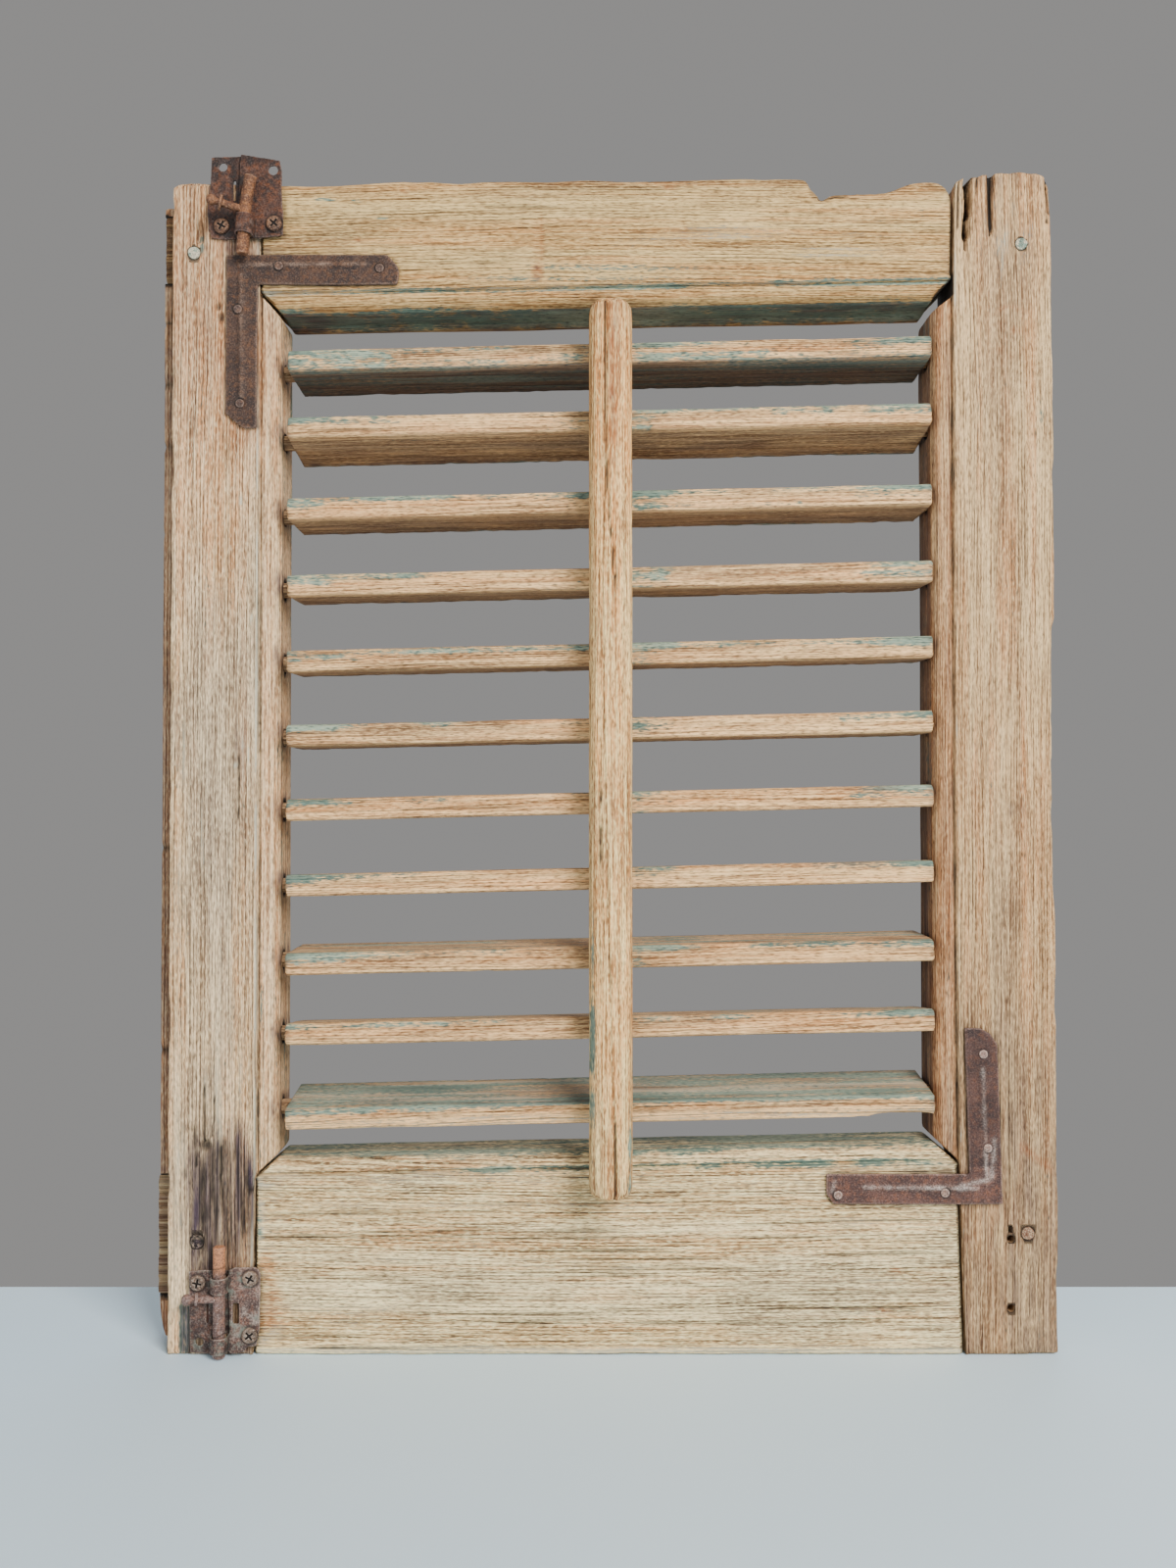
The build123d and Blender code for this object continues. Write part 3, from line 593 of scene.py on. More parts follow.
def rust_material(name, dark, brown, orange, grey, rough=(0.62, 0.9), scale=1.0, metallic=0.2, orange_bias=0.5, bump=0.0006, green=0.0, shade=0.74, wear_and_highlight=None, speck=0.42):
    g = G(name)
    tc = g.n("ShaderNodeTexCoord").outputs["Object"]
    v = g.vmul(tc, (scale, scale, scale))
    big = g.noise(v, 95, 5, 0.65)
    mid = g.noise(v, 380, 4, 0.65)
    fine = g.noise(v, 1350, 1, 0.6)
    pits = g.voronoi(v, 700)
    col = g.mix(g.step(big, 0.35, 0.68), dark, brown)
    col = g.mix(g.math("MULTIPLY", g.step(mid, 0.46 + 0.1 * (0.5 - orange_bias), 0.74), 0.85), col, orange)
    col = g.mix(g.math("MULTIPLY", g.step(g.noise(g.vadd(v, (3.1, 1.7, 0.4)), 240, 5, 0.7), 0.55, 0.8), 0.7), col, grey)
    col = g.mix(g.math("MULTIPLY", g.step(fine, 0.52, 0.66), 0.62), col, tuple(c * 0.4 for c in dark))
    col = g.mix(g.math("MULTIPLY", g.step(fine, 0.46, 0.33), speck), col, tuple(min(1, c * 1.3 + 0.01) for c in grey))
    col = g.mix(1.0, col, (shade, shade, shade), "MULTIPLY")
    # pointiness: painted shade darkens the hollows, and a painted highlight lightens the sharp edges
    pt = g.n("ShaderNodeNewGeometry").outputs["Pointiness"]
    col = g.mix(g.math("MULTIPLY", g.step(pt, 0.495, 0.45), 0.85), col, tuple(c * 0.16 for c in dark))
    col = g.mix(g.math("MULTIPLY", g.math("MULTIPLY", g.step(pt, 0.508, 0.55), g.remap(fine, 0.35, 0.6, 1.0, 0.45)), 0.75), col, tuple(min(1, c * 1.25 + 0.02) for c in grey))
    # mW: pale bare metal, and on the rib crests a painted highlight
    wear_highlight_mask = g.math("MULTIPLY", g.attr("mW"), g.remap(fine, 0.38, 0.6, 1.0, 0.35))
    col = g.mix(wear_highlight_mask, col, wear_and_highlight or tuple(min(1, c * 1.35 + 0.03) for c in grey))
    # mK: grime and painted shade (shadow rings round heads, shade in slots and gutters, lines across the lower bolt
    # rod)
    col = g.mix(g.attr("mK"), col, tuple(c * 0.12 for c in dark))
    if green:
        gm = g.step(g.noise(g.vadd(v, (7.7, 2.2, 5.4)), 150, 5, 0.7), 0.5, 0.66)
        col = g.mix(g.math("MULTIPLY", gm, green), col, srgb(124, 134, 122))
    g.l(col, g.bsdf.inputs["Base Color"])
    g.bsdf.inputs["Metallic"].default_value = metallic
    g.l(g.remap(mid, 0.25, 0.75, rough[0], rough[1]), g.bsdf.inputs["Roughness"])
    h = g.math("ADD", g.math("MULTIPLY", mid, 0.7), g.math("MULTIPLY", fine, 0.5))
    h = g.math("ADD", h, g.math("MULTIPLY", g.step(pits, 0.0, 0.35), 0.3))
    g.l(g.bump(h, 0.9, bump), g.bsdf.inputs["Normal"])
    return g.mat


M_STILE_L = wood_material("stile_wood_grey", srgb(230, 208, 172), srgb(202, 170, 128), srgb(92, 70, 54), srgb(212, 154, 102), srgb(160, 146, 126), line=0.86, tint=(1.11, 1.02, 0.93), fibre=1.15, stain_shade_colours=((94, 76, 86), (34, 27, 38)))
M_STILE_R = wood_material("stile_wood_warm", srgb(220, 192, 148), srgb(196, 158, 114), srgb(100, 68, 46), srgb(208, 146, 94), srgb(148, 128, 104), line=0.82, tint=(0.94, 0.86, 0.775), fibre=1.1)
M_RAIL_T = wood_material("rail_top_wood", srgb(224, 198, 144), srgb(200, 164, 110), srgb(96, 66, 40), srgb(212, 150, 88), srgb(160, 144, 110), line=1.0, tint=(0.90, 0.81, 0.685), fibre=1.1)
M_RAIL_B = wood_material("rail_bottom_wood", srgb(238, 218, 174), srgb(214, 182, 134), srgb(84, 62, 44), srgb(216, 160, 104), srgb(172, 156, 128), line=1.0, tint=(1.17, 1.10, 0.99), fibre=1.3)
M_SLAT = wood_material("slat_wood", srgb(230, 194, 148), srgb(208, 162, 116), srgb(104, 72, 48), srgb(218, 154, 100), srgb(132, 114, 96), line=0.76, tint=(1.11, 1.005, 0.835), fibre=1.1)
M_ROD = wood_material("rod_wood", srgb(242, 210, 158), srgb(224, 176, 122), srgb(116, 76, 46), srgb(228, 162, 100), srgb(176, 152, 120), line=0.9, tint=(1.13, 1.02, 0.84), fibre=1.35)
M_IRON = rust_material("corner_iron", srgb(60, 42, 36), srgb(92, 64, 50), srgb(126, 84, 56), srgb(116, 92, 76))
M_IRON_B = rust_material("corner_iron_pale", srgb(74, 50, 46), srgb(114, 78, 68), srgb(142, 92, 68), srgb(146, 118, 106), shade=0.84, wear_and_highlight=srgb(206, 190, 180), speck=0.3)
M_PLATE = rust_material("bolt_plate", srgb(44, 32, 30), srgb(98, 60, 44), srgb(136, 80, 48), srgb(108, 86, 76))
M_PLATE_B = rust_material("bolt_plate_pale", srgb(78, 60, 56), srgb(128, 98, 88), srgb(150, 100, 78), srgb(160, 142, 130), green=0.6, shade=0.9)
M_BOLT = rust_material("bolt_rod", srgb(104, 66, 46), srgb(148, 96, 64), srgb(186, 124, 76), srgb(168, 128, 98), orange_bias=0.8, bump=0.0004)
M_BOLT_B = rust_material("bolt_rod_pale", srgb(100, 78, 72), srgb(140, 110, 102), srgb(168, 118, 92), srgb(170, 152, 144), orange_bias=0.5, bump=0.0004, shade=0.8, wear_and_highlight=srgb(206, 138, 92))
M_SCREW = rust_material("screw_steel", srgb(92, 76, 66), srgb(140, 118, 102), srgb(156, 122, 98), srgb(180, 166, 152), metallic=0.4, rough=(0.5, 0.8), bump=0.0003, shade=0.95)
M_SCREW_T = rust_material("screw_steel_brown", srgb(64, 44, 36), srgb(124, 86, 62), srgb(142, 98, 68), srgb(152, 118, 92), metallic=0.3, rough=(0.5, 0.8), bump=0.0003, shade=0.9)
M_NAIL = rust_material("nail_iron", srgb(72, 54, 48), srgb(110, 80, 66), srgb(140, 98, 72), srgb(130, 108, 96), bump=0.0003)
M_NAIL_B = rust_material("nail_iron_pale", srgb(110, 86, 78), srgb(158, 128, 116), srgb(168, 124, 100), srgb(190, 170, 158), bump=0.0003, shade=0.9)
M_WIRE = rust_material("staple_wire", srgb(70, 52, 44), srgb(104, 74, 56), srgb(134, 90, 62), srgb(110, 90, 78), bump=0.0002)

# =====================================================================
# dimensions shared by the wooden members (millimetres)
# =====================================================================
YF, YB = -14.0, 14.0
PHI = math.radians(1.30)
TPHI = math.tan(PHI)
XC = 3.1
SLAT_Z = [448.7, 416.6, 382.2, 348.3, 314.2, 280.2, 246.9, 212.3, 178.2, 144.7, 111.0]
SLAT_TILT = [1.8, 8.2, 0.4, -2.0, -1.7, 0.0, 0.0, 2.6, -1.2, 6.6, -7.2]


def zt_q(x): return 481.4 + 0.0195 * x
def zt_i(x): return 473.0 + 0.0195 * x
def zb_q(x): return 82.7 + 0.0215 * x
def zb_i(x): return 90.0 + 0.0215 * x


def interp(pts):
    xs = np.array([p[0] for p in pts]); ys = np.array([p[1] for p in pts])
    o = np.argsort(xs)
    xs, ys = xs[o], ys[o]
    return lambda v: np.interp(v, xs, ys)


# ovolo profile: fraction of the width inwards -> depth below the front face
OV_F = np.array([0.0, 0.10, 0.22, 0.34, 0.46, 0.58, 0.68, 0.77, 0.85, 0.92, 0.97, 1.0])
OV_D = np.array([0.75, 0.72, 0.80, 1.0, 1.3, 1.8, 2.4, 3.15, 4.1, 5.25, 6.4, 7.5])


def tone(l, p, q, seed):
    """Slow colour variation along the grain, stored per vertex: broad, patches, streaks, dirt."""
    mid = 0.5 + 0.62 * fbm(l / 190.0, p / 9.0, q / 9.0, seed + 201, 3)
    low = 0.5 + 0.62 * fbm(l / 80.0, p / 30.0, q / 30.0, seed + 211, 4)
    st = 0.5 + 0.62 * fbm(l / 85.0, p / 2.4, q / 2.4, seed + 221, 3)
    dirt = 0.5 + 0.62 * fbm(l / 60.0, p / 3.6, q / 3.6, seed + 231, 4, 0.6)
    return np.clip(np.stack([mid, low, st, dirt], -1), 0, 1)


# masks for the wood shader; the stain mask also carries painted shade (hole walls, inner faces, undersides, slat ends)
class Masks:
    def __init__(self, n):
        self.paint = np.zeros(n); self.pale = np.zeros(n); self.stain_and_shade = np.zeros(n); self.orange = np.zeros(n)
        self.dark = np.zeros(n); self.rust = np.zeros(n); self.grey = np.zeros(n); self.light = np.zeros(n)

    def add(self, key, val):
        setattr(self, key, np.maximum(getattr(self, key), val))

    def attrs(self):
        c = lambda a: np.clip(a, 0, 1)
        return {"mA": np.stack([c(self.paint), c(self.pale), c(self.stain_and_shade), np.ones_like(self.paint)], -1),
                "mB": np.stack([c(self.dark), c(self.rust), c(self.grey), np.ones_like(self.paint)], -1),
                "mO": c(self.orange), "mL": c(self.light)}


def ring_field(l, p, q, pith, spacing, seed, wob=1.0):
    """Growth-ring number at a point; l along the grain."""
    cx = pith[0] + 10.0 * vn(l / 210.0, 0.3, seed, seed) * wob
    cy = pith[1] + 6.0 * vn(l / 170.0, 7.3, seed, seed + 5) * wob
    r = np.hypot(p - cx, q - cy)
    r = r + 1.2 * wob * fbm(l / 75.0, p / 16.0, q / 16.0, seed + 9, 2) + 0.4 * fbm(l / 22.0, p / 5.0, q / 5.0, seed + 31, 2)
    return r / spacing


def relief(P, N, l, p, q, ring, seed, amp=1.0):
    """Inward depth (mm) of the weathered surface: eroded grain, ripples and small dents."""
    ridge = 0.5 + 0.5 * np.sin(2 * np.pi * ring * 0.5 + 2.0 * vn(l / 90.0, p / 30.0, q / 30.0, seed))
    d = 0.10 * ridge + 0.13 * np.clip(fbm(l / 34.0, p / 1.9, q / 1.9, seed + 3, 3) + 0.25, 0, 1)
    d += 0.16 * np.clip(fbm(l / 60.0, p / 20.0, q / 20.0, seed + 4, 3), 0, 1)
    dents = np.clip(vn(l / 9.0, p / 5.0, q / 5.0, seed + 8) - 0.62, 0, 1) * 1.1
    return (d + dents) * amp


# outlines of the ironwork on the front, for a painted contact shadow close round it and the dirt and rust around it
OUTLINES = [[(-170.5, 495.0), (-170.7, 422.9), (-162.2, 415.9), (-156.3, 416.0), (-155.9, 481.3), (-92.6, 481.3), (-92.1, 487.2), (-97.6, 495.0)],
            [(178.9, 67.2), (176.9, 138.6), (173.4, 143.6), (169.0, 146.0), (161.8, 146.4), (163.8, 80.9), (99.8, 80.9), (99.7, 72.0), (103.0, 67.3)],
            [(-177.5, 539.4), (-146.2, 537.5), (-144.6, 503.6), (-165.6, 502.0), (-177.3, 502.4), (-179.4, 513.9)],
            [(-185.4, 37.6), (-166.6, 38.2), (-164.5, 39.6), (-154.0, 39.4), (-153.1, 12.8), (-156.2, 4.4), (-163.0, 1.2), (-184.6, 1.0)]]


def ironwork_shadow_and_dirt(x, z, m, fw):
    dist = np.full_like(x, 99.0)
    for poly in OUTLINES:
        for a, b in zip(poly, poly[1:] + poly[:1]):
            dist = np.minimum(dist, seg_dist(x, z, a, b)[0])
    n = np.clip(0.75 + 0.6 * vn(x / 5.0, z / 5.0, 0.2, 901), 0, 1)
    # painted contact shadow: a thin dark line close round the ironwork; the wider stain below is dirt
    m.add("dark", 0.62 * np.exp(-(dist / 0.85) ** 2) * fw * n)
    m.add("stain_and_shade", 0.42 * np.exp(-dist / 2.4) * fw * np.clip(0.5 + vn(x / 4.0, z / 4.0, 0.6, 902), 0, 1))


def crack(x, z, m, pts, width, depth, seed=1, jag=0.5):
    """An open crack along a polyline on the front: returns inward depth and darkens it."""
    dd = np.zeros_like(x)
    zz = z
    for a, b in zip(pts[:-1], pts[1:]):
        off = jag * vn(zz / 6.0, x * 0.0, 0.5, seed)
        dist, t = seg_dist(x + off, z, a[:2], b[:2])
        w = a[2] + (b[2] - a[2]) * t
        w = np.maximum(w * width, 1e-3)
        prof = np.clip(1 - dist / w, 0, 1)
        dd = np.maximum(dd, depth * np.minimum(1, prof * 1.6) * np.clip(w / width, 0.2, 1))
        m.add("dark", np.clip(prof * 1.7, 0, 1))
    return dd


def settle(ob, body, nodes, mat=None):
    if mat is not None:
        ob.data.materials.clear()
        ob.data.materials.append(mat)
    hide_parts(*nodes)
    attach(ob, body)
    return ob


# =====================================================================
# stiles
# =====================================================================
def stile(side):
    left = side == "left"
    if left:
        lip = pieces_between([(-203.4, 0.0), (-195.5, 0.0)], [8])
        step = pieces_between([(-195.5, 0.0), (-195.5, -14.0)], [11])[1:]
        n_face, n_lip = 46, len(lip) + len(step)
        zs = stations(0.0, 1.0 * 528.3, 2.9, [(75, 98, 1.2), (462, 480, 1.2), (498, 514, 1.3), (515, 529, 1.3), (0, 8, 1.3)])
        top = interp([(-203.6, 523.0), (-202.2, 523.3), (-195.6, 523.3), (-195.5, 526.8), (-193.2, 528.4), (-187.0, 529.0), (-179.4, 528.6), (-155.0, 528.3)])
        bot = interp([(-203.6, 21.0), (-202.2, 9.0), (-200.7, 2.2), (-195.6, 2.0), (-195.5, 0.0), (-155.0, 0.0)])
        xo = interp([(0, -195.5), (530, -195.5)])
        xq = interp([(0, -157.0), (79, -156.2), (80.4, -155.6), (530, -155.6)])
        xi = -146.6
        zm0, zm0i, zm1i, zm1 = 80.4, 88.4, 468.4, 477.6
    else:
        n_face, n_lip = 48, 0
        zs = stations(0.0, 533.7, 2.9, [(82, 100, 1.2), (466, 486, 1.2), (495, 534, 1.15), (319, 333, 1.2)])
        top = interp([(149.0, 520.0), (159.3, 526.8), (160.6, 529.4), (162.3, 530.4), (164.4, 531.6), (166.7, 532.0), (168.6, 531.2), (173.4, 532.8), (175.5, 532.3), (180.0, 533.4),
                      (184.0, 532.9), (189.0, 533.7), (193.5, 532.9), (197.0, 533.0), (200.6, 531.6), (202.8, 528.4), (203.6, 523.0), (204.5, 523.0)])
        bot = interp([(140, 0.0), (210, 0.0)])
        xo = interp([(0, 204.0), (132, 204.0), (193, 203.9), (224, 203.3), (255, 202.6), (300, 202.8), (323.5, 202.6), (327, 202.9), (330.0, 204.0), (415, 204.2), (477, 203.7), (526, 203.2), (534, 203.0)])
        xq = interp([(0, 162.4), (84.8, 159.8), (140, 159.2), (300, 158.6), (486, 158.6), (527, 159.3), (534, 160.0)])
        xi = 149.5
        zm0, zm0i, zm1i, zm1 = 86.0, 95.6, 470.9, 476.9
    n_ov = len(OV_F)
    ns = (n_lip + n_face + 1 if left else n_face + 1) + 2 + n_ov - 1
    nt, nu = 16, len(zs) - 1
    # column kinds, from the outer edge inwards
    ijk, F = lattice(ns, nt, nu)
    i, j, k = ijk[:, 0], ijk[:, 1], ijk[:, 2]
    t = j / nt
    z_st = zs[k]
    wid = np.abs(xi - xq(z_st))
    w = wid * np.clip(np.minimum((z_st - zm0) / (zm0i - zm0), (zm1 - z_st) / (zm1 - zm1i)), 0, 1)
    sgn = 1.0 if left else -1.0
    Fx = np.zeros(len(i)); Fy = np.zeros(len(i))
    base = n_lip
    if left:
        lp = np.concatenate([lip, step])
        sel = i < n_lip
        Fx[sel] = lp[i[sel], 0]; Fy[sel] = lp[i[sel], 1]
    # face columns (the last column of the step is the first of the face)
    first = n_lip - 1 if left else 0
    fi = i - first
    sel = (fi >= 0) & (fi <= n_face)
    if left:
        sel &= i >= n_lip
    fr = fi / n_face
    Fx[sel] = (xo(z_st) + (xq(z_st) - xo(z_st)) * fr)[sel]
    Fy[sel] = YF
    q1 = first + n_face + 1
    s1 = i == q1
    Fx[s1] = xq(z_st)[s1]; Fy[s1] = YF + 1.7
    s2 = i == q1 + 1
    Fx[s2] = (xq(z_st) + sgn * np.minimum(0.9, w))[s2]; Fy[s2] = YF + 1.7
    oi = i - (q1 + 2)
    s3 = oi >= 0
    of = OV_F[np.clip(oi, 0, n_ov - 1)]
    od = OV_D[np.clip(oi, 0, n_ov - 1)]
    off = 0.9 + (wid - 0.9) * of
    Fx[s3] = (xq(z_st) + sgn * np.minimum(off, w))[s3]; Fy[s3] = (YF + od)[s3]
    # back
    x_in = xq(z_st) + sgn * w
    x_out = np.full(len(i), -203.4) if left else xo(z_st)
    Bx = x_out + (x_in - x_out) * (i / ns)
    x = Fx + (Bx - Fx) * t
    y = Fy + (YB - Fy) * t
    H0 = zs[-1]
    zt, zb = top(x), bot(x)
    z = np.where(z_st < 40.0, zb + z_st * (40.0 - zb) / 40.0, z_st)
    z = np.where(z_st > 490.0, 490.0 + (z_st - 490.0) * (zt - 490.0) / (H0 - 490.0), z)
    P = np.stack([x, y, z], -1)
    F = orient(P, F)
    front = (j == 0) & ((i >= n_lip) if left else True)
    seed = 11 if left else 23
    # worn edges, varying along the stile and kept sharp at the quirk
    am = 0.35 + 0.65 * np.clip(0.5 + vn(z / 17.0, x / 40.0, y / 40.0, seed + 40), 0, 1)
    am = np.where((i >= q1 - 2) & (i <= q1 + 3) & (j < 3), 0.04, am)
    P = wear_edges(P, F, am, 5)
    N, sh = normals(P, F)
    x, y, z = P[:, 0], P[:, 1], P[:, 2]
    m = Masks(len(P))
    pith = (-262.0, 46.0) if left else (112.0, 58.0)
    ring = ring_field(z, x, y, pith, 1.3 if left else 0.95, seed, 0.4)
    d = relief(P, N, z, x, y, ring, seed)
    fw = np.clip(-N[:, 1], 0, 1)                      # facing the front
    # chips along the outer front edge
    xe = x_out if not left else np.full(len(x), -195.5)
    near_edge = np.exp(-np.abs(x - xe) / 1.6) * np.exp(-np.abs(y - YF) / 2.2)
    d += 1.1 * near_edge * np.clip(vn(z / 11.0, 3.0, 0.2, seed + 60) - 0.25, 0, 1) * 1.6
    # moulding colours: orange-worn, pale paint line at the quirk
    uq = sgn * (x - xq(z))                            # distance inwards from the quirk
    on_mould = sstep(-0.2, 0.9, uq) * (z > zm0 - 1) * (z < zm1 + 1)
    m.add("orange", 0.75 * on_mould * np.clip(0.75 + 0.6 * fbm(z / 40.0, uq / 6.0, 0.0, seed + 70, 2), 0, 1))
    ql = np.exp(-((uq + 0.7) / 0.8) ** 2) * fw
    m.add("pale", ql * np.clip((0.75 if left else 0.1) + 0.9 * vn(z / 14.0, 0.1, 0.3, seed + 71), 0, 1) * 1.1)
    m.add("paint", 0.75 * np.exp(-((uq - 1.9) / 0.8) ** 2) * np.clip(-0.05 + 1.0 * vn(z / 22.0, 0.7, 0.3, seed + 72), 0, 1))
    # painted shade: a dark line in the quirk groove
    quirk_shade = np.exp(-((uq - 0.5) / (0.62 if left else 0.95)) ** 2) * (y < YF + 3) * (z > zm0 - 3) * (z < zm1 + 3)
    m.add("dark", quirk_shade * np.clip((0.5 if not left else 0.42) + 0.5 * vn(z / 12.0, 0.2, 0.9, seed + 76), 0, 1))
    inner_face = sstep(0.5, 0.9, sgn * N[:, 0]) * (y > YF + 6.5)
    m.add("grey", 0.5 * inner_face)
    ironwork_shadow_and_dirt(x, z, m, fw)
    # dark joint line beside the rails
    jl = ((i == q1 - 1) | (i == q1)) * ((z < zm0 - 2) | (z > zm1 + 2)) * (y < YF + 2.5)
    m.add("dark", np.where(i == q1, 0.9, 0.3) * jl)
    # grime where the slat ends rub, with a painted shadow beside each end and painted shade on the inner face around it
    for zc in SLAT_Z:
        ze_ = zc + ((xi - XC) * TPHI)
        m.add("stain_and_shade", (0.9 if left else 0.7) * blob(x, z, xi - sgn * 0.6, ze_ + 1.6, 3.2, 7.0) * np.clip(0.7 + 0.8 * vn(x / 1.5, z / 3.0, y / 3.0, seed + 78), 0, 1))
        m.add("dark", 0.6 * inner_face * blob(y, z, 0.0, ze_, 9.0, 7.0) * np.clip(0.6 + vn(y / 2.0, z / 3.0, 0.1, seed + 79), 0, 1))
    if left:
        m.add("orange", 0.9 * fw * (x > -195.4) * sstep(350, 440, z) * np.clip(0.8 + 0.5 * fbm(z / 60.0, x / 5.0, 0.0, seed + 95, 2), 0, 1))
        m.add("rust", 0.07 * fw * (x > -195.4) * sstep(350, 440, z))
        m.add("orange", 0.6 * (x < -195.4) * sstep(110, 170, z)); m.add("dark", 0.13 * (x < -195.4) * sstep(110, 170, z))
    else:
        # painted shade on the right stile's inner face
        m.add("dark", 0.2 * inner_face)
    if not left:
        # painted shade: the mitre wedge above the moulding made near black
        wedge = (x < 158.75) * (z > 471.2 + (x - 149.5) * 0.66) * (z < 487.5)
        m.add("dark", 0.97 * wedge)
        # painted shade on the inner face: stained brown, darker towards the back
        m.add("stain_and_shade", 0.85 * inner_face * np.clip(0.75 + 0.7 * fbm(z / 14.0, y / 4.0, 0.1, seed + 81, 2), 0, 1))
        m.add("dark", 0.55 * inner_face * sstep(-5.0, 6.0, y)); m.add("rust", 0.25 * on_mould * np.clip(0.4 + fbm(z / 60.0, uq / 2.5, 0.0, seed + 83, 2), 0, 1))
        m.add("stain_and_shade", 0.40 * on_mould * np.clip(0.5 + 1.1 * fbm(z / 34.0, uq / 1.6, 0.0, seed + 80, 3), 0, 1)); m.add("orange", 0.9 * on_mould)
    m.add("light", 0.6 * on_mould * np.exp(-((uq - 3.6) / 1.6) ** 2) * fw * np.clip(0.5 + vn(z / 40.0, 0.4, 0.2, seed + 82), 0, 1))
    m.add("paint", 0.46 * inner_face * np.clip(0.5 + vn(z / 15.0, y / 8.0, 0.3, seed + 73), 0, 1))
    m.add("pale", 0.30 * fw * np.clip(fbm(z / 90.0, x / 14.0, 0.0, seed + 74, 2) + 0.3, 0, 1))
    if left:
        # rebate lip: dirty, with cross marks and fine cracks
        on_lip = (x < -195.7) * 1.0
        m.add("grey", 0.5 * on_lip); m.add("orange", 0.8 * on_lip); m.add("rust", 0.2 * on_lip)
        m.add("paint", 0.4 * sstep(6.0, 8.5, uq) * np.clip(0.5 + 0.9 * fbm(z / 30.0, y / 3.0, 0.0, seed + 84, 2), 0, 1) * (z > zm0) * (z < zm1))
        m.add("stain_and_shade", on_lip * (0.25 + 0.45 * np.clip(vn(z / 1.7, 2.0, 0.4, 81) + 0.1, 0, 1)))
        m.add("stain_and_shade", 0.9 * on_lip * sstep(24, 10, z)); m.add("rust", 0.4 * on_lip * sstep(24, 14, z))
        for zc in (503, 469, 440, 412, 372, 300, 226, 133, 64, 47):
            g = np.exp(-((z - zc - 0.8 * vn(x / 2, 0, 0, 82)) / 0.9) ** 2) * on_lip * (y < 4)
            d += 0.8 * g
            m.add("dark", 0.8 * g)
        step_face = (np.abs(x + 195.5) < 1.2) * (y > YF + 1.5) * (y < 0.5)
        m.add("grey", 0.6 * step_face)
        # green slot above the peg
        s = blob(x, z, -182.6, 505.8, 1.9, 5.6, 2.5) * fw
        d += 2.6 * s; m.add("dark", 0.55 * s); m.add("paint", 0.85 * s * (z < 505))
        s = blob(x, z, -182.0, 499.2, 1.6, 3.6) * fw
        m.add("paint", 0.9 * s); d += 0.8 * s
        s = blob(x, z, -184.8, 492.0, 1.3, 2.4) * fw
        m.add("paint", 0.8 * s)
        # nail holes and a dark knot scar with its splits
        for cx, cz, r, dp in ((-174.5, 471.8, 1.5, 1.6), (-173.2, 467.0, 1.7, 1.5), (-158.2, 73.0, 2.0, 2.0)):
            s = blob(x, z, cx, cz, r, r * 1.5) * fw
            d += dp * s; m.add("dark", 0.9 * s)
        s = blob(x, z, -178.2, 93.0, 3.2, 3.0) * fw
        d += 1.4 * s; m.add("dark", 0.95 * s)
        d += crack(x, z, m, [(-178.6, 95.0, 1.0), (-179.4, 108.0, 0.7), (-178.6, 122.0, 0.1)], 0.9, 1.6, 3) * fw
        d += crack(x, z, m, [(-175.0, 97.0, 0.8), (-174.6, 112.0, 0.4), (-175.2, 118.0, 0.1)], 0.8, 1.2, 4) * fw
        d += crack(x, z, m, [(-182.8, 84.0, 0.6), (-183.6, 98.0, 0.6), (-183.0, 108.0, 0.1)], 0.8, 1.2, 5) * fw
        d += crack(x, z, m, [(-170.4, 62.0, 0.8), (-171.2, 84.0, 0.8), (-170.6, 100.0, 0.1)], 0.9, 1.4, 6) * fw
        d += crack(x, z, m, [(-163.5, 280.0, 0.2), (-164.6, 262.0, 0.9), (-164.2, 240.0, 0.2)], 0.7, 0.8, 7) * fw
        # dark stain at the foot, around the lower bolt
        s1 = blob(x, z, -173.5, 66.0, 17.5, 40.0, 2.2)
        s2 = blob(x, z, -165.0, 80.0, 10.0, 28.0)
        s3 = blob(x, z, -176.0, 30.0, 9.0, 30.0)
        sn = np.clip(0.85 + 1.2 * fbm(z / 24.0, x / 2.6, 0.0, 91, 3), 0, 1)
        m.add("stain_and_shade", fw * np.clip(s1 * 1.5, 0, 1) * sn)
        m.add("stain_and_shade", fw * np.clip(s2 * 1.4, 0, 1) * np.clip(sn + 0.1, 0, 1))
        m.add("stain_and_shade", fw * np.clip(s3 * 1.3, 0, 1) * np.clip(sn + 0.1, 0, 1))
        m.add("stain_and_shade", fw * np.clip(1.5 * blob(x, z, -167.0, 56.0, 9.5, 30.0, 2.5), 0, 1) * np.clip(0.9 + 0.9 * fbm(z / 18.0, x / 1.8, 0.0, 92, 3), 0, 1))
        m.add("dark", fw * np.clip(s1 - 0.25, 0, 1) * np.clip(fbm(z / 16.0, x / 1.9, 0, 93, 2) + 0.05, 0, 1) * 1.5)
        m.add("dark", 0.8 * fw * blob(x, z, -177.5, 62.5, 5.0, 7.0) * np.clip(0.6 + vn(x / 1.5, z / 2.2, 0, 99), 0, 1))
        m.add("pale", 0.5 * fw * blob(x, z, -176.0, 118.0, 22.0, 52.0, 3.0) * np.clip(0.35 + 1.2 * fbm(z / 60.0, x / 2.0, 0, 104, 3), 0, 1))
        m.add("light", 0.7 * fw * blob(x, z, -188.0, 70.0, 8.0, 90.0, 3.0) * np.clip(0.5 + fbm(z / 60.0, x / 3.0, 0, 105, 2), 0, 1))
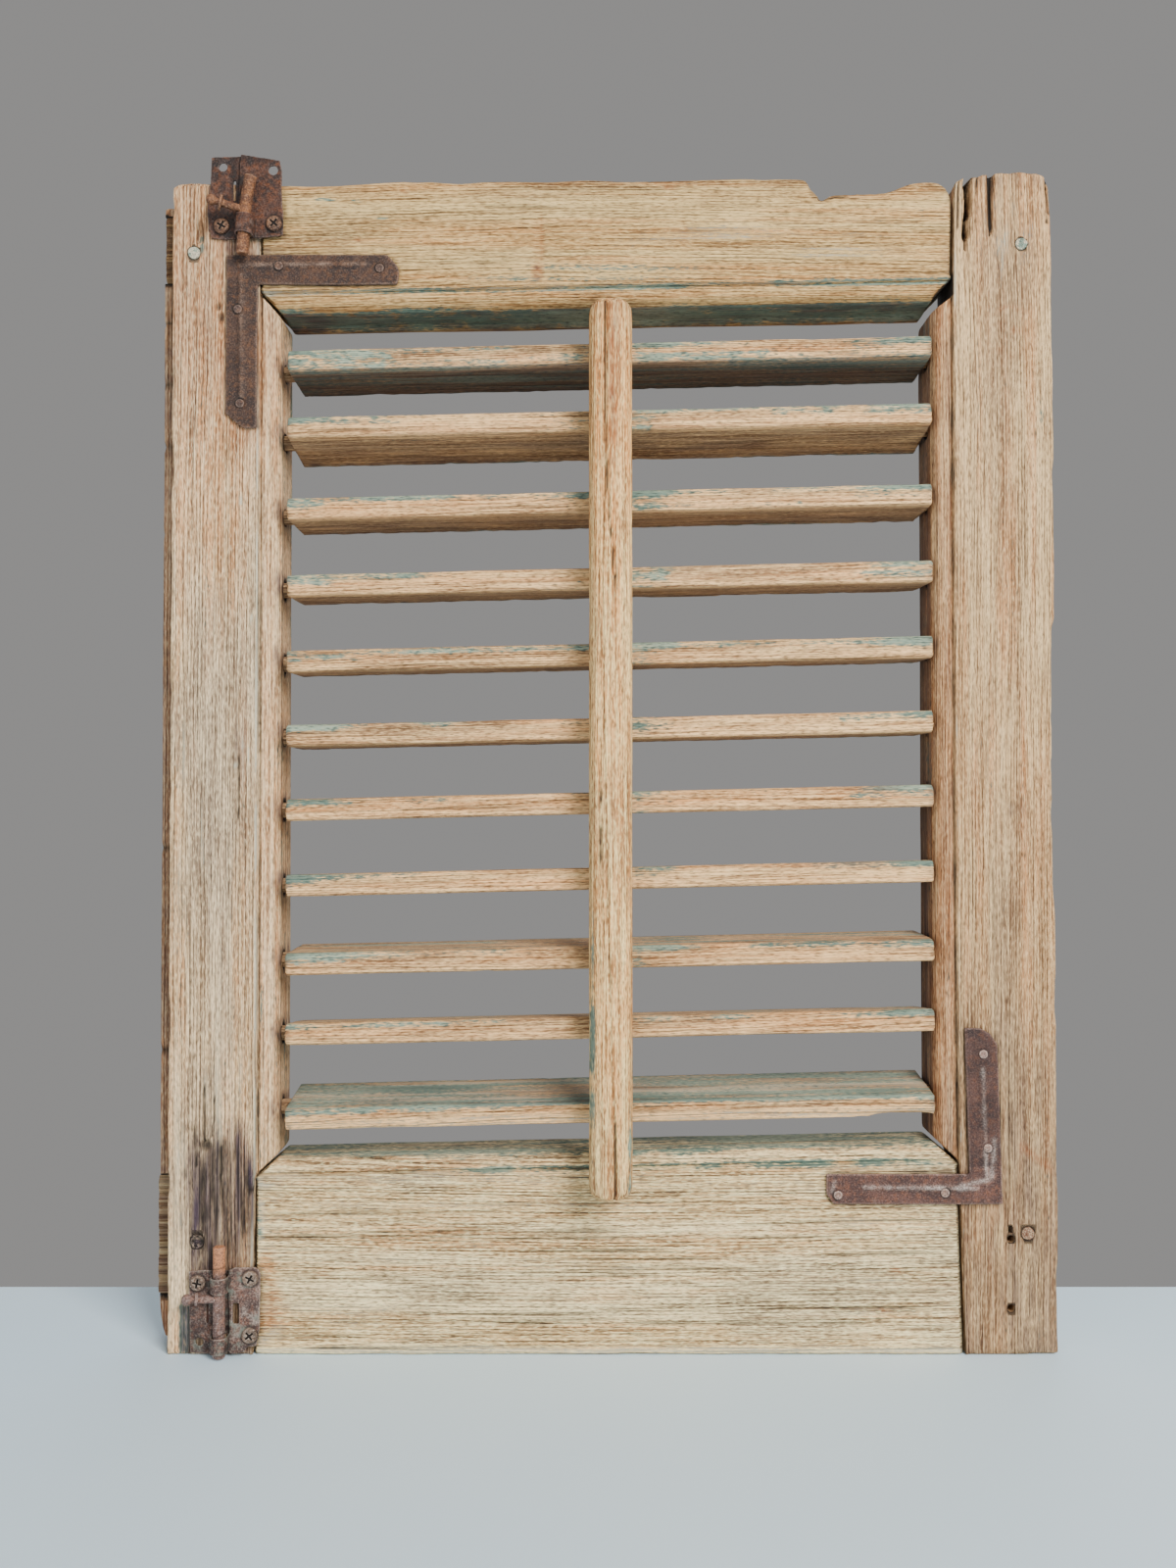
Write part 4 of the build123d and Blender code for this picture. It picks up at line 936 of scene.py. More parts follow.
        m.add("dark", fw * 0.9 * blob(x, z, -169.0, 66.0, 13.0, 28.0) * np.clip(1.7 * fbm(z / 13.0, x / 3.2, 0, 106, 3) + 0.12, 0, 1))
        m.add("stain_and_shade", fw * np.clip(2.2 * blob(x, z, -168.0, 67.0, 12.5, 32.0, 3.0), 0, 1) * np.clip(0.82 + 0.8 * fbm(z / 22.0, x / 1.7, 0, 108, 3), 0, 1))
        m.add("dark", fw * 0.75 * blob(x, z, -175.5, 45.0, 6.5, 12.0) * np.clip(0.65 + vn(x / 1.3, z / 1.6, 0, 109), 0, 1))
        m.add("dark", 0.62 * (x > -166.6) * (x < -161.2) * (z > 12.0) * (z < 26.0) * fw)
        m.add("dark", 0.8 * blob(x, z, -180.3, 6.2, 3.0, 3.0) * fw)
        # painted highlight: a pale line along the inner edge at the foot
        m.add("pale", 0.6 * (i == q1 - 2) * (z < zm0 - 4) * np.clip(0.7 + 0.8 * vn(z / 12.0, 0.2, 0.4, 107), 0, 1))
        m.add("stain_and_shade", fw * (z < 62) * (x > -184) * 0.7 * np.clip(0.7 + 0.8 * fbm(z / 10.0, x / 4.0, 0, 100, 2), 0, 1))
        core = np.clip(1.9 * blob(x, z, -170.0, 70.0, 12.5, 26.0, 2.5), 0, 1) * fw
        m.add("stain_and_shade", core * np.clip(0.88 + 0.7 * fbm(z / 26.0, x / 1.9, 0, 130, 3), 0, 1))
        m.add("dark", core * np.clip(0.36 + 1.3 * fbm(z / 20.0, x / 1.7, 0, 131, 3), 0, 0.9))
        m.add("dark", 0.7 * fw * blob(x, z, -172.5, 78.0, 4.8, 12.0, 2.5) * np.clip(0.7 + vn(x / 1.2, z / 5.0, 0, 132), 0, 1))
        m.add("stain_and_shade", 0.8 * fw * blob(x, z, -187.4, 80.0, 1.9, 5.0)); m.add("dark", 0.5 * fw * blob(x, z, -187.6, 81.0, 1.0, 2.6))
        # warm upper end, brown streak and dirt around the iron
        m.add("orange", 1.0 * fw * sstep(300, 420, z) * np.clip(0.8 + 0.6 * fbm(z / 70.0, x / 5.0, 0, 133, 2), 0, 1))
        m.add("stain_and_shade", 0.2 * fw * sstep(380, 460, z))
        m.add("rust", fw * 0.55 * np.exp(-((x + 173.2) / 2.0) ** 2) * sstep(418, 440, z) * sstep(524, 500, z) * np.clip(0.6 + 0.9 * fbm(z / 30.0, x / 1.5, 0, 134, 2), 0, 1))
        m.add("rust", 0.30 * fw * sstep(400, 470, z) * np.clip(0.75 + 0.5 * fbm(z / 60.0, x / 3.0, 0, 137, 2), 0, 1))
        m.add("stain_and_shade", 0.8 * fw * (x > -173.0) * sstep(493.5, 495.5, z) * sstep(505, 501, z) * np.clip(0.7 + 0.8 * vn(x / 2.0, z / 2.0, 0, 135), 0, 1))
        # rough blob over the lower peg
        s = blob(x, z, -182.0, 50.3, 4.6, 5.2) * fw
        d += (0.5 - 1.0 * vn(x / 1.6, z / 1.6, 0.4, 94)) * s * 0.6
        m.add("stain_and_shade", 0.75 * s); m.add("grey", 0.8 * s)
        # pale and grey-brown cast beside the stain, peeled strips at the foot
        m.add("pale", 0.55 * fw * blob(x, z, -190.0, 60.0, 5.0, 70.0) * sn)
        s = (np.abs(x + 191.9) < 1.5) * sstep(22, 17, z) * fw
        d += 0.7 * s; m.add("orange", 1.0 * s)
        s = (np.abs(x + 187.7) < 2.3) * sstep(25, 21, z) * fw
        d += 0.9 * s; m.add("paint", 0.95 * s); m.add("stain_and_shade", 0.78 * s)
        m.add("dark", 0.7 * fw * (np.abs(x + 185.0) < 0.8) * sstep(24, 18, z) + 0.45 * s * np.clip(vn(x / 1.2, z / 4.0, 0, 136), 0, 1))
        m.add("rust", 0.6 * fw * blob(x, z, -167.0, 20.0, 16.0, 26.0) * np.clip(fbm(x / 5, z / 5, 0.3, 95, 2) + 0.3, 0, 1))
        # paint flecks near the moulding
        for cx, cz, rx, rz in ((-163.9, 383.6, 0.9, 3.2), (-162.5, 273.0, 1.0, 4.0), (-160.0, 268.0, 0.9, 5.5), (-165.5, 264.0, 0.8, 3.0), (-158.9, 330.0, 0.8, 3.0)):
            m.add("pale", 1.2 * blob(x, z, cx, cz, rx, rz) * fw)
        # dirt under the bolt and the corner iron
        m.add("stain_and_shade", 0.8 * fw * blob(x, z, -162.0, 500.0, 10.0, 14.0) * np.clip(0.7 + fbm(x / 4, z / 4, 0, 96, 2), 0, 1))
        m.add("rust", 0.55 * fw * blob(x, z, -163.0, 445.0, 9.5, 40.0, 4.0))
        m.add("stain_and_shade", 0.35 * fw * blob(x, z, -176.0, 215.0, 8.0, 70.0) * np.clip(fbm(z / 60.0, x / 3.0, 0, 97, 2) + 0.2, 0, 1))
        m.add("pale", 0.5 * fw * blob(x, z, -186.0, 230.0, 9.0, 110.0, 3.0) * np.clip(0.5 + fbm(z / 40.0, x / 3.0, 0, 101, 2), 0, 1))
        m.add("grey", 0.8 * fw * blob(x, z, -172.0, 200.0, 16.0, 130.0, 3.0) * np.clip(0.5 + fbm(z / 50.0, x / 5.0, 0, 102, 2), 0, 1))
        m.add("orange", 0.7 * fw * blob(x, z, -178.0, 420.0, 18.0, 90.0, 3.0) * np.clip(0.5 + fbm(z / 50.0, x / 5.0, 0, 103, 2), 0, 1))
        m.add("stain_and_shade", 0.75 * fw * blob(x, z, -163.0, 285.0, 4.5, 36.0) * np.clip(fbm(z / 30.0, x / 2.0, 0, 98, 2) + 0.35, 0, 1))
    else:
        # open splits in the worn top end
        def split(pts, half, depth):
            zz = np.array([a[1] for a in pts]); xx = np.array([a[0] for a in pts]); hh = np.array([a[2] for a in pts])
            o = np.argsort(zz)
            cx = np.interp(z, zz[o], xx[o]); hw = np.interp(z, zz[o], hh[o], left=0.0)
            inside = np.clip(1 - np.abs(x - cx) / np.maximum(hw, 1e-3), 0, 1) * (z > zz.min())
            want = YF + depth * np.minimum(1.0, inside * 2.2) * np.clip(hw / half, 0.25, 1)
            deeper = (y < want) & (inside > 0.02)
            P[deeper, 1] = want[deeper]
            m.add("dark", np.clip(inside * 3, 0, 1) * (y < YF + depth + 1))
        split([(165.6, 540.0, 2.0), (165.8, 530.0, 1.9), (165.2, 515.0, 1.5), (164.5, 505.0, 1.2), (164.3, 496.8, 0.5)], 1.9, 12.0)
        split([(176.4, 540.0, 1.9), (176.0, 522.0, 1.6), (175.8, 508.0, 1.2), (175.7, 503.9, 0.6)], 1.9, 4.2)
        m.add("orange", 0.6 * fw * blob(x, z, 176.0, 520.0, 3.0, 17.0))
        d += crack(x, z, m, [(201.6, 530.0, 1.2), (202.0, 518.0, 0.9), (201.6, 510.0, 0.1)], 1.1, 3.0, 8) * fw
        d += crack(x, z, m, [(161.2, 530.0, 0.8), (161.0, 515.0, 0.6), (161.4, 500.0, 0.1)], 0.9, 1.5, 9) * fw
        d += crack(x, z, m, [(170.0, 532.0, 0.8), (169.6, 524.0, 0.4), (169.8, 519.0, 0.1)], 0.8, 1.2, 10) * fw
        m.add("stain_and_shade", 0.75 * sstep(522, 533, z) * np.clip(0.35 + vn(x / 3.0, z / 8.0, 0, 120), 0, 1))
        m.add("pale", 0.55 * fw * blob(x, z, 181.0, 505.0, 22.0, 30.0) * np.clip(fbm(z / 20, x / 3, 0, 121, 2) + 0.4, 0, 1))
        # stains
        m.add("paint", 0.62 * fw * blob(x, z, 199.0, 423.0, 2.6, 10.0))
        for cz, ph in ((470.0, 0.0), (462.0, 1.2), (452.0, 2.1)):
            g = np.exp(-((z - cz - 2.2 * np.sin((x - 178) / 3.2 + ph) - 0.22 * (x - 184)) / 0.9) ** 2) * blob(x, z, 184.5, 460.0, 7.5, 22.0, 4)
            m.add("rust", 0.42 * g * fw)
        g = np.exp(-(((z - 88.0) + (x - 194.0) * 0.75) / 2.2) ** 2) * blob(x, z, 194.0, 88.0, 8.5, 12.0, 4)
        m.add("rust", 0.55 * g * fw)
        m.add("orange", 0.6 * fw * blob(x, z, 190.0, 300.0, 14.0, 120.0) * np.clip(fbm(z / 60, x / 5, 0, 122, 2) + 0.35, 0, 1))
        m.add("grey", 0.95 * fw * sstep(170, 90, z) * np.clip(0.7 + 0.8 * fbm(z / 30, x / 4, 0, 126, 2), 0, 1))
        m.add("stain_and_shade", 0.60 * fw * sstep(175, 70, z) * np.clip(0.42 + 1.1 * fbm(z / 26, x / 3.0, 0, 127, 3), 0, 1))
        m.add("light", 0.8 * fw * blob(x, z, 165.0, 425.0, 7.0, 75.0, 3.0) * np.clip(0.6 + fbm(z / 30, x / 3, 0, 128, 2), 0, 1))
        m.add("stain_and_shade", 0.42 * fw * blob(x, z, 172.0, 120.0, 14.0, 60.0) * np.clip(fbm(z / 30, x / 3, 0, 123, 2) + 0.35, 0, 1))
        m.add("stain_and_shade", 0.5 * fw * sstep(26, 0, z) * np.clip(fbm(z / 20, x / 3, 0, 124, 2) + 0.4, 0, 1))
        m.add("rust", 0.35 * fw * blob(x, z, 176.0, 60.0, 16.0, 26.0) * np.clip(fbm(z / 16, x / 4, 0, 125, 2) + 0.3, 0, 1))
        # faint ring of an old plug, half way down
        rr = np.hypot(x - 186.5, z - 243.9)
        g = np.exp(-((rr - 3.3) / 0.7) ** 2) * fw
        d += 0.35 * g; m.add("stain_and_shade", 0.5 * g); m.add("grey", 0.7 * (rr < 3.2) * fw)
        # long fine checks in the lower part
        for cx, z0, z1, sd in ((168.5, 330, 400, 1), (176.0, 150, 260, 2), (181.5, 60, 150, 3), (190.5, 320, 480, 4), (197.0, 110, 230, 5), (170.8, 200, 300, 6)):
            line_ = np.clip(1 - np.abs(x - cx - 0.5 * vn(z / 40.0, sd, 0.2, 30 + sd)) / 0.5, 0, 1) * sstep(z0, z0 + 20, z) * sstep(z1, z1 - 20, z) * fw
            d += 0.3 * line_
            m.add("dark", 0.45 * line_)
    m.dark *= np.where(j == nt, 0.3, 1.0)
    P = P - N * d[:, None]
    P[:, 2] = np.maximum(P[:, 2], 0.0)
    keep = (P[:, 2] < 1.0) & (N[:, 2] < -0.6)
    P[keep, 2] = np.minimum(P[keep, 2], 0.25)
    attrs = m.attrs()
    attrs["ring"] = ring
    attrs["gp"] = np.stack([z, x, y], -1) * MM
    attrs["mT"] = tone(z, x, y, seed)
    name = "stile_%s_wood" % side
    ob = make_mesh(name, P, orient(P, F), attrs)
    # mortises, pivot bores, screw and peg holes
    cuts = []
    if left:
        boxes = [box_arrays(-210, -153, -4.6, 4.6, 487.7, 519.3), box_arrays(-210, -153, -4.6, 4.6, 21.7, 76.3)]
        x0, x1 = -154.6, -140.0
        pegs = [(-185.5, 496.3, 2.92), (-182.0, 50.3, 3.2)]
        holes = [(-172.6, 507.9, 1.7), (-181.3, 32.4, 1.7), (-157.4, 34.9, 1.7), (-157.6, 9.7, 1.7), (-165.0, 469.9, 1.1), (-163.9, 427.1, 1.1)]
    else:
        boxes = [box_arrays(156, 210, -4.6, 4.6, 487.7, 519.3), box_arrays(156, 210, -4.6, 4.6, 21.7, 66.3)]
        x0, x1 = 144.0, 158.9
        pegs = [(189.7, 500.4, 2.85), (190.3, 54.0, 3.1)]
        holes = [(182.75, 51.4, 1.8), (182.75, 20.6, 1.8), (170.2, 134.4, 1.1), (172.0, 92.5, 1.1)]
    for kk in range(11):
        zc = SLAT_Z[kk]
        r = 4.0 + 0.35 * math.sin(kk * 2.3)
        cuts.append(tube_arrays((x0, 0, zc + (x0 - XC) * TPHI), (x1, 0, zc + (x1 - XC) * TPHI), r, 20, 3))
    screws = [tube_arrays((hx, -20, hz), (hx, 1.0, hz), hr, 14, 3) for hx, hz, hr in holes]
    if not left:
        screws.append(box_arrays(181.5, 183.4, -20, -6.0, 54.2, 57.2))
    bores = [tube_arrays((hx, -20, hz), (hx, 20, hz), hr, 18, 3) for hx, hz, hr in pegs]
    cut(ob, [boxes, cuts, bores, screws])
    fill_cuts(ob)
    return settle(ob, "frame", ["stile_" + side], M_STILE_L if left else M_STILE_R)


# =====================================================================
# rails
# =====================================================================
TOP_EDGE = [(-155.2, 527.8), (-144.7, 527.7), (-113.6, 528.2), (-95.8, 529.4), (-82.4, 529.8), (-64.6, 528.6), (-51.3, 529.8),
            (-24.6, 529.4), (-6.8, 530.3), (11.0, 529.5), (37.7, 530.1), (64.4, 530.8), (91.1, 530.6), (92.9, 529.7),
            (93.7, 526.8), (96.4, 524.1), (99.1, 521.4), (102.2, 522.8), (105.3, 523.9), (117.8, 524.1), (128.9, 525.0),
            (134.7, 527.0), (140.0, 528.6), (146.7, 529.4), (152.5, 529.0), (156.0, 526.8), (157.6, 524.0), (158.4, 520.0)]


def rail(which):
    top = which == "top"
    if top:
        xs = stations(-155.2, 158.3, 2.6, [(90, 110, 0.8), (110, 160, 1.6), (-156, -143, 1.3), (-34, -24, 1.0)])
        ze = interp(TOP_EDGE)
        zq, zi = zt_q, zt_i
        n_face = 44
        # ends: mitres below the quirk
        xl = interp([(469.0, -146.0), (470.0, -146.2), (478.7, -155.2), (535, -155.2)])
        xr = interp([(474.0, 149.2), (478.4, 151.8), (484.6, 157.9), (508.0, 158.3), (540.0, 158.3)])
    else:
        xs = stations(-156.4, 161.5, 2.6, [(-156, -143, 1.3), (145, 162, 1.3)])
        ze = interp([(-170, 0.0), (170, 0.0)])
        zq, zi = zb_q, zb_i
        n_face = 86
        xl = interp([(0.0, -156.4), (79.3, -155.7), (87.1, -146.4), (100.0, -146.4)])
        xr = interp([(0.0, 161.5), (84.6, 159.3), (85.4, 159.0), (93.2, 149.6), (100.0, 149.6)])
    n_ov = len(OV_F)
    ns = n_face + 2 + n_ov
    nt, nu = 16, len(xs) - 1
    ijk, F = lattice(ns, nt, nu)
    i, j, k = ijk[:, 0], ijk[:, 1], ijk[:, 2]
    t = j / nt
    X0, X1 = xs[0], xs[-1]
    u = (xs[k] - X0) / (X1 - X0)
    xx = xs[k].copy()
    sgn = -1.0 if top else 1.0                       # inwards direction along z
    for _it in range(2):
        e, qz, iz = ze(xx), zq(xx), zi(xx)
        wid = np.abs(iz - qz)
        Fz = np.zeros(len(i)); Fy = np.full(len(i), YF)
        sel = i <= n_face
        Fz[sel] = (e + (qz - e) * (i / n_face))[sel]
        s1 = i == n_face + 1
        Fz[s1] = qz[s1]; Fy[s1] = YF + 1.7
        s2 = i == n_face + 2
        Fz[s2] = (qz + sgn * 0.9)[s2]; Fy[s2] = YF + 1.7
        oi = i - (n_face + 3)
        s3 = oi >= 0
        of = OV_F[np.clip(oi, 0, n_ov - 1)]; od = OV_D[np.clip(oi, 0, n_ov - 1)]
        Fz[s3] = (qz + sgn * (0.9 + (wid - 0.9) * of))[s3]; Fy[s3] = (YF + od)[s3]
        lipd = 1.8 if top else 0.0
        Bz = e + ((iz + sgn * lipd) - e) * (i / ns)
        z = Fz + (Bz - Fz) * t
        y = Fy + (YB - Fy) * t
        if top:
            # inner edge: flat to the back lip, then a small step down
            side = i == ns
            z = np.where(side, iz - 1.8 * sstep(8.2, 9.4, y), z)
        a, b = xl(z), xr(z)
        xx = a + (b - a) * u
    x = xx
    P = np.stack([x, y, z], -1)
    F = orient(P, F)
    seed = 37 if top else 53
    am = 0.3 + 0.7 * np.clip(0.5 + vn(x / 17.0, z / 40.0, y / 40.0, seed + 40), 0, 1)
    if top:
        am = np.maximum(am, 1.0 * (z > 520))
    am = np.where((i >= n_face - 1) & (i <= n_face + 4) & (j < 3), 0.04, am)
    P = wear_edges(P, F, am, 5)
    N, sh = normals(P, F)
    x, y, z = P[:, 0], P[:, 1], P[:, 2]
    m = Masks(len(P))
    if top:
        ring = ring_field(x, z, y, (430.0, 60.0), 1.0, seed, 0.5)
    else:
        ring = ring_field(x, z, y, (-62.0, 40.0), 1.35, seed, 0.35)
    d = relief(P, N, x, z, y, ring, seed, 1.0 if top else 1.15)
    fw = np.clip(-N[:, 1], 0, 1)
    uq = sgn * (z - zq(x))
    on_mould = sstep(-0.2, 0.9, uq)
    m.add("orange", 0.7 * on_mould * (y < YF + 8) * np.clip(0.7 + 0.6 * fbm(x / 45.0, uq / 6.0, 0.0, seed + 70, 2), 0, 1))
    ql = np.exp(-((uq - 0.3) / 0.8) ** 2) * fw
    m.add("pale", 0.8 * ql * np.clip(0.6 + 0.9 * vn(x / 16.0, 0.1, 0.3, seed + 71), 0, 1))
    ironwork_shadow_and_dirt(x, z, m, fw)
    m.add("dark", 0.85 * ((k <= 0) | (k >= nu)) * (y < YF + 2.0))
    m.add("light", 0.55 * on_mould * np.exp(-((uq - 3.4) / 1.5) ** 2) * fw * np.clip(0.5 + vn(x / 40.0, 0.4, 0.2, seed + 82), 0, 1))
    edge_near = np.exp(-np.abs(z - ze(x)) / 1.6) * np.exp(-np.abs(y - YF) / 2.2)
    d += 0.9 * edge_near * np.clip(vn(x / 12.0, 3.0, 0.2, seed + 60) - 0.3, 0, 1) * 1.6
    if top:
        # strong green paint in the quirk, towards the middle and the right, and on the underside
        m.add("paint", 0.95 * np.exp(-((uq - 0.9) / 1.3) ** 2) * np.clip(0.62 + 0.7 * vn(x / 26.0, 0.7, 0.3, seed + 72) + 0.25 * sstep(-90, -20, x), 0, 1))
        m.add("pale", 0.8 * np.exp(-((uq + 0.4) / 0.6) ** 2) * fw * np.clip(0.5 + vn(x / 20.0, 0.7, 0.6, seed + 77), 0, 1))
        # painted shade: a dark line in the quirk groove
        m.add("dark", 0.5 * np.exp(-((uq - 0.45) / 0.5) ** 2) * (y < YF + 3) * np.clip(0.5 + 0.7 * vn(x / 12.0, 0.2, 0.9, seed + 76), 0, 1))
        low_edge = sstep(5.4, 7.6, uq) * (y < YF + 9)
        m.add("paint", 0.62 * low_edge * np.clip(0.55 + 0.8 * vn(x / 18.0, 0.2, 0.3, seed + 75), 0, 1))
        under = sstep(0.5, 0.9, -N[:, 2]) * (z < 484) * (y > YF + 6)
        m.add("paint", under * np.clip(0.9 + 0.5 * fbm(x / 5.0, y / 6.0, 0, seed + 90, 2) - 0.8 * sstep(9.0, 12.5, y), 0, 1)); m.add("grey", 0.3 * under)
        # the stain on the underside is partly painted shade, heavier towards the left end
        m.add("stain_and_shade", under * np.clip(0.5 + 0.5 * fbm(x / 12.0, y / 4.0, 0, seed + 91, 2) + 0.35 * sstep(-118, -140, x), 0, 1))
        m.add("orange", 0.7 * under * sstep(9.5, 13.0, y))
        # grey, weathered top edge, darkest where a piece is broken out
        te = np.exp(-np.clip(ze(x) - z, 0, 9) / 1.5) * fw
        m.add("stain_and_shade", te * (0.34 + 0.45 * sstep(88, 98, x) * sstep(140, 128, x)) * np.clip(0.6 + 0.9 * vn(x / 5.0, z / 2.0, 0.3, seed + 92), 0, 1))
        # chalky green line in the quirk, greener to the right
        m.add("pale", 0.95 * np.exp(-((uq - 0.7) / 1.2) ** 2) * sstep(10, -30, x) * np.clip(0.75 + 0.5 * vn(x / 9.0, 0.2, 0.3, seed + 93), 0, 1))
        m.add("paint", 0.7 * np.exp(-((uq - 0.3) / 1.5) ** 2) * sstep(-30, 30, x) * np.clip(0.7 + 0.7 * vn(x / 9.0, 0.2, 0.3, seed + 94), 0, 1))
        m.add("rust", 0.35 * sstep(8.6, 9.2, y) * (z < 476) * np.clip(-N[:, 1], 0, 1))
        # broken place in the top edge: fresh orange split wood with a dark lower corner
        s = blob(x, z, 120.0, 524.0, 36.0, 5.0, 4.0)
        m.add("orange", 0.8 * s)
        s = blob(x, z, 98.5, 524.5, 5.5, 4.5) * fw
        m.add("dark", 0.6 * s)
        m.add("stain_and_shade", 0.8 * (z > 519) * (x > 92) * (x < 134) * np.clip(N[:, 2], 0, 1) * (0.5 + 0.5 * vn(x / 3, y / 3, 0, 140)))
        d += 0.9 * (z > 519) * (x > 93) * (x < 134) * np.clip(N[:, 2], 0, 1) * np.clip(vn(x / 2.2, y / 3.0, 0, 141) + 0.2, 0, 1)
        d += crack(x, z, m, [(98.0, 521.2, 1.0), (112.0, 522.6, 0.4), (124.0, 523.4, 0.1)], 0.9, 1.4, 41, 0.2) * fw
        # orange-brown gouge, faint stain, spots
        s = blob(x, z, -29.0, 503.0, 2.6, 13.0, 3.0) * fw
        s2 = blob(x, z, -29.6, 488.0, 3.4, 4.6) * fw
        d += 0.7 * s * (z > 492) + 0.35 * s2
        m.add("rust", 0.5 * np.clip(s, 0, 1) * (0.4 + 0.6 * (np.abs(x + 27.2) < 1.0)))
        m.add("rust", 0.75 * s2)
        m.add("rust", 0.25 * fw * blob(x, z, 36.3, 505.0, 1.6, 8.0))
        for cx, cz, rx, rz in ((-126.0, 520.8, 7.5, 1.4), (-112.0, 520.0, 5.0, 1.0), (-100.0, 512.0, 5.0, 0.9)):
            m.add("paint", 0.8 * fw * blob(x, z, cx, cz, rx, rz))
        for cx, cz, rx, rz in ((-111.0, 502.5, 1.8, 1.3), (-90.2, 524.6, 2.2, 1.4), (30.0, 526.0, 3.0, 1.2)):
            m.add("rust", 0.7 * fw * blob(x, z, cx, cz, rx, rz))
        m.add("paint", 0.42 * fw * blob(x, z, -10.0, 487.0, 60.0, 5.0, 3.0))
        m.add("orange", 0.65 * fw * sstep(514, 528, z) * np.clip(fbm(x / 60, z / 5, 0, 143, 2) + 0.45, 0, 1))
        m.add("orange", 0.5 * fw * blob(x, z, -60.0, 505.0, 40.0, 8.0))
        m.add("pale", 0.5 * fw * blob(x, z, 75.0, 500.0, 85.0, 16.0, 3.0) * np.clip(fbm(x / 60, z / 3, 0, 144, 2) + 0.45, 0, 1))
        m.add("stain_and_shade", 0.55 * fw * sstep(152, 158, x) * np.clip(0.4 + vn(x, z / 8, 0, 145), 0, 1))
        m.add("stain_and_shade", 0.6 * fw * sstep(-143, -150, x) * np.clip(0.5 + vn(x / 2, z / 6, 0, 146), 0, 1))
        # painted shade: the rail's end faces behind the right mitre made near black
        m.add("dark", 0.92 * (N[:, 0] > 0.4) * (x > 148.0) * (z < 487) * (y < YF + 16))
        m.add("stain_and_shade", 0.45 * np.exp(-((uq + 0.4) / 0.55) ** 2) * (y < YF + 3) * np.clip(0.7 + 0.6 * vn(x / 7.0, 0.2, 0.3, seed + 89), 0, 1))
        for z0, a, b, sd in ((512.0, -100, -30, 1), (506.0, 10, 70, 2), (498.0, 60, 145, 3), (517.5, -60, 10, 4), (492.0, -90, -40, 5), (509.0, 110, 150, 6)):
            cz = z0
            o = 0.4 * np.sin(x / 23.0 + sd)
            dist = np.abs(z - cz - 0.0195 * x * 0.6 - o)
            g = np.clip(1 - dist / 0.7, 0, 1) * sstep(a, a + 12, x) * sstep(b, b - 12, x) * fw
            d += 0.45 * g; m.add("dark", 0.55 * g)
    else:
        topf = sstep(0.4, 0.9, N[:, 2]) * (z > 80) * (y > YF + 5)
        m.add("paint", 0.62 * topf); m.add("grey", 0.9 * topf)
        m.add("stain_and_shade", 0.45 * topf * np.clip(0.5 + fbm(x / 30.0, y / 3.0, 0.2, seed + 99, 3), 0, 1))
        nose = sstep(4.6, 6.2, uq + 1.5 * fbm(x / 7.0, uq / 2.0, 0.0, seed + 95, 3)) * (y < YF + 9)
        m.add("paint", 0.66 * nose * np.clip(0.75 + 0.7 * vn(x / 20.0, 0.2, 0.3, seed + 75), 0, 1))
        m.add("grey", 0.7 * nose); m.add("stain_and_shade", 0.35 * nose * np.clip(0.3 + vn(x / 3.0, uq, 0.3, seed + 96), 0, 1))
        m.add("stain_and_shade", 0.6 * np.exp(-((uq + 0.6) / 1.6) ** 2) * fw * sstep(-96, -116, x) * np.clip(0.6 + 0.8 * vn(x / 7.0, uq / 2.0, 0.3, seed + 97), 0, 1))
        m.add("paint", 0.85 * np.exp(-((uq - 0.6) / 1.9) ** 2) * sstep(-70, -60, x) * np.clip(0.62 + 0.8 * vn(x / 12.0, uq / 3.0, 0.3, seed + 98) + 0.25 * sstep(60, 110, x), 0, 1))
        # painted shade: a dark line in the quirk groove
        m.add("dark", 0.45 * np.exp(-((uq - 0.45) / 0.5) ** 2) * (y < YF + 3) * np.clip(0.5 + 0.7 * vn(x / 12.0, 0.2, 0.9, seed + 76), 0, 1))
        m.add("paint", 0.95 * np.exp(-((uq - 0.9) / 1.0) ** 2) * sstep(-75, -60, x) * np.clip(0.6 + 0.7 * vn(x / 26.0, 0.7, 0.3, seed + 72), 0, 1))
        # long dark checks along the grain
        rng = np.random.RandomState(7)
        zc = 4.0
        while zc < 79.0:
            a, b = sorted(rng.uniform(-165, 165, 2))
            if b - a < 90:
                a, b = a - 60, b + 60
            amp, ph, wl = rng.uniform(0.2, 0.8), rng.uniform(0, 6), rng.uniform(30, 70)
            wd = rng.uniform(0.5, 0.85)
            dist = np.abs(z - zc - 0.012 * x - amp * np.sin(x / wl + ph) - 0.25 * vn(x / 6.0, zc, 0, 150))
            g = np.clip(1 - dist / wd, 0, 1) * sstep(a, a + 15, x) * sstep(b, b - 15, x) * fw
            g = g * np.clip(0.6 + 0.8 * vn(x / 30.0, zc, 0.3, 151), 0, 1)
            d += 0.6 * g
            m.add("dark", 0.9 * g)
            zc += rng.uniform(3.4, 7.5) if zc < 52 else rng.uniform(8.0, 13.0)
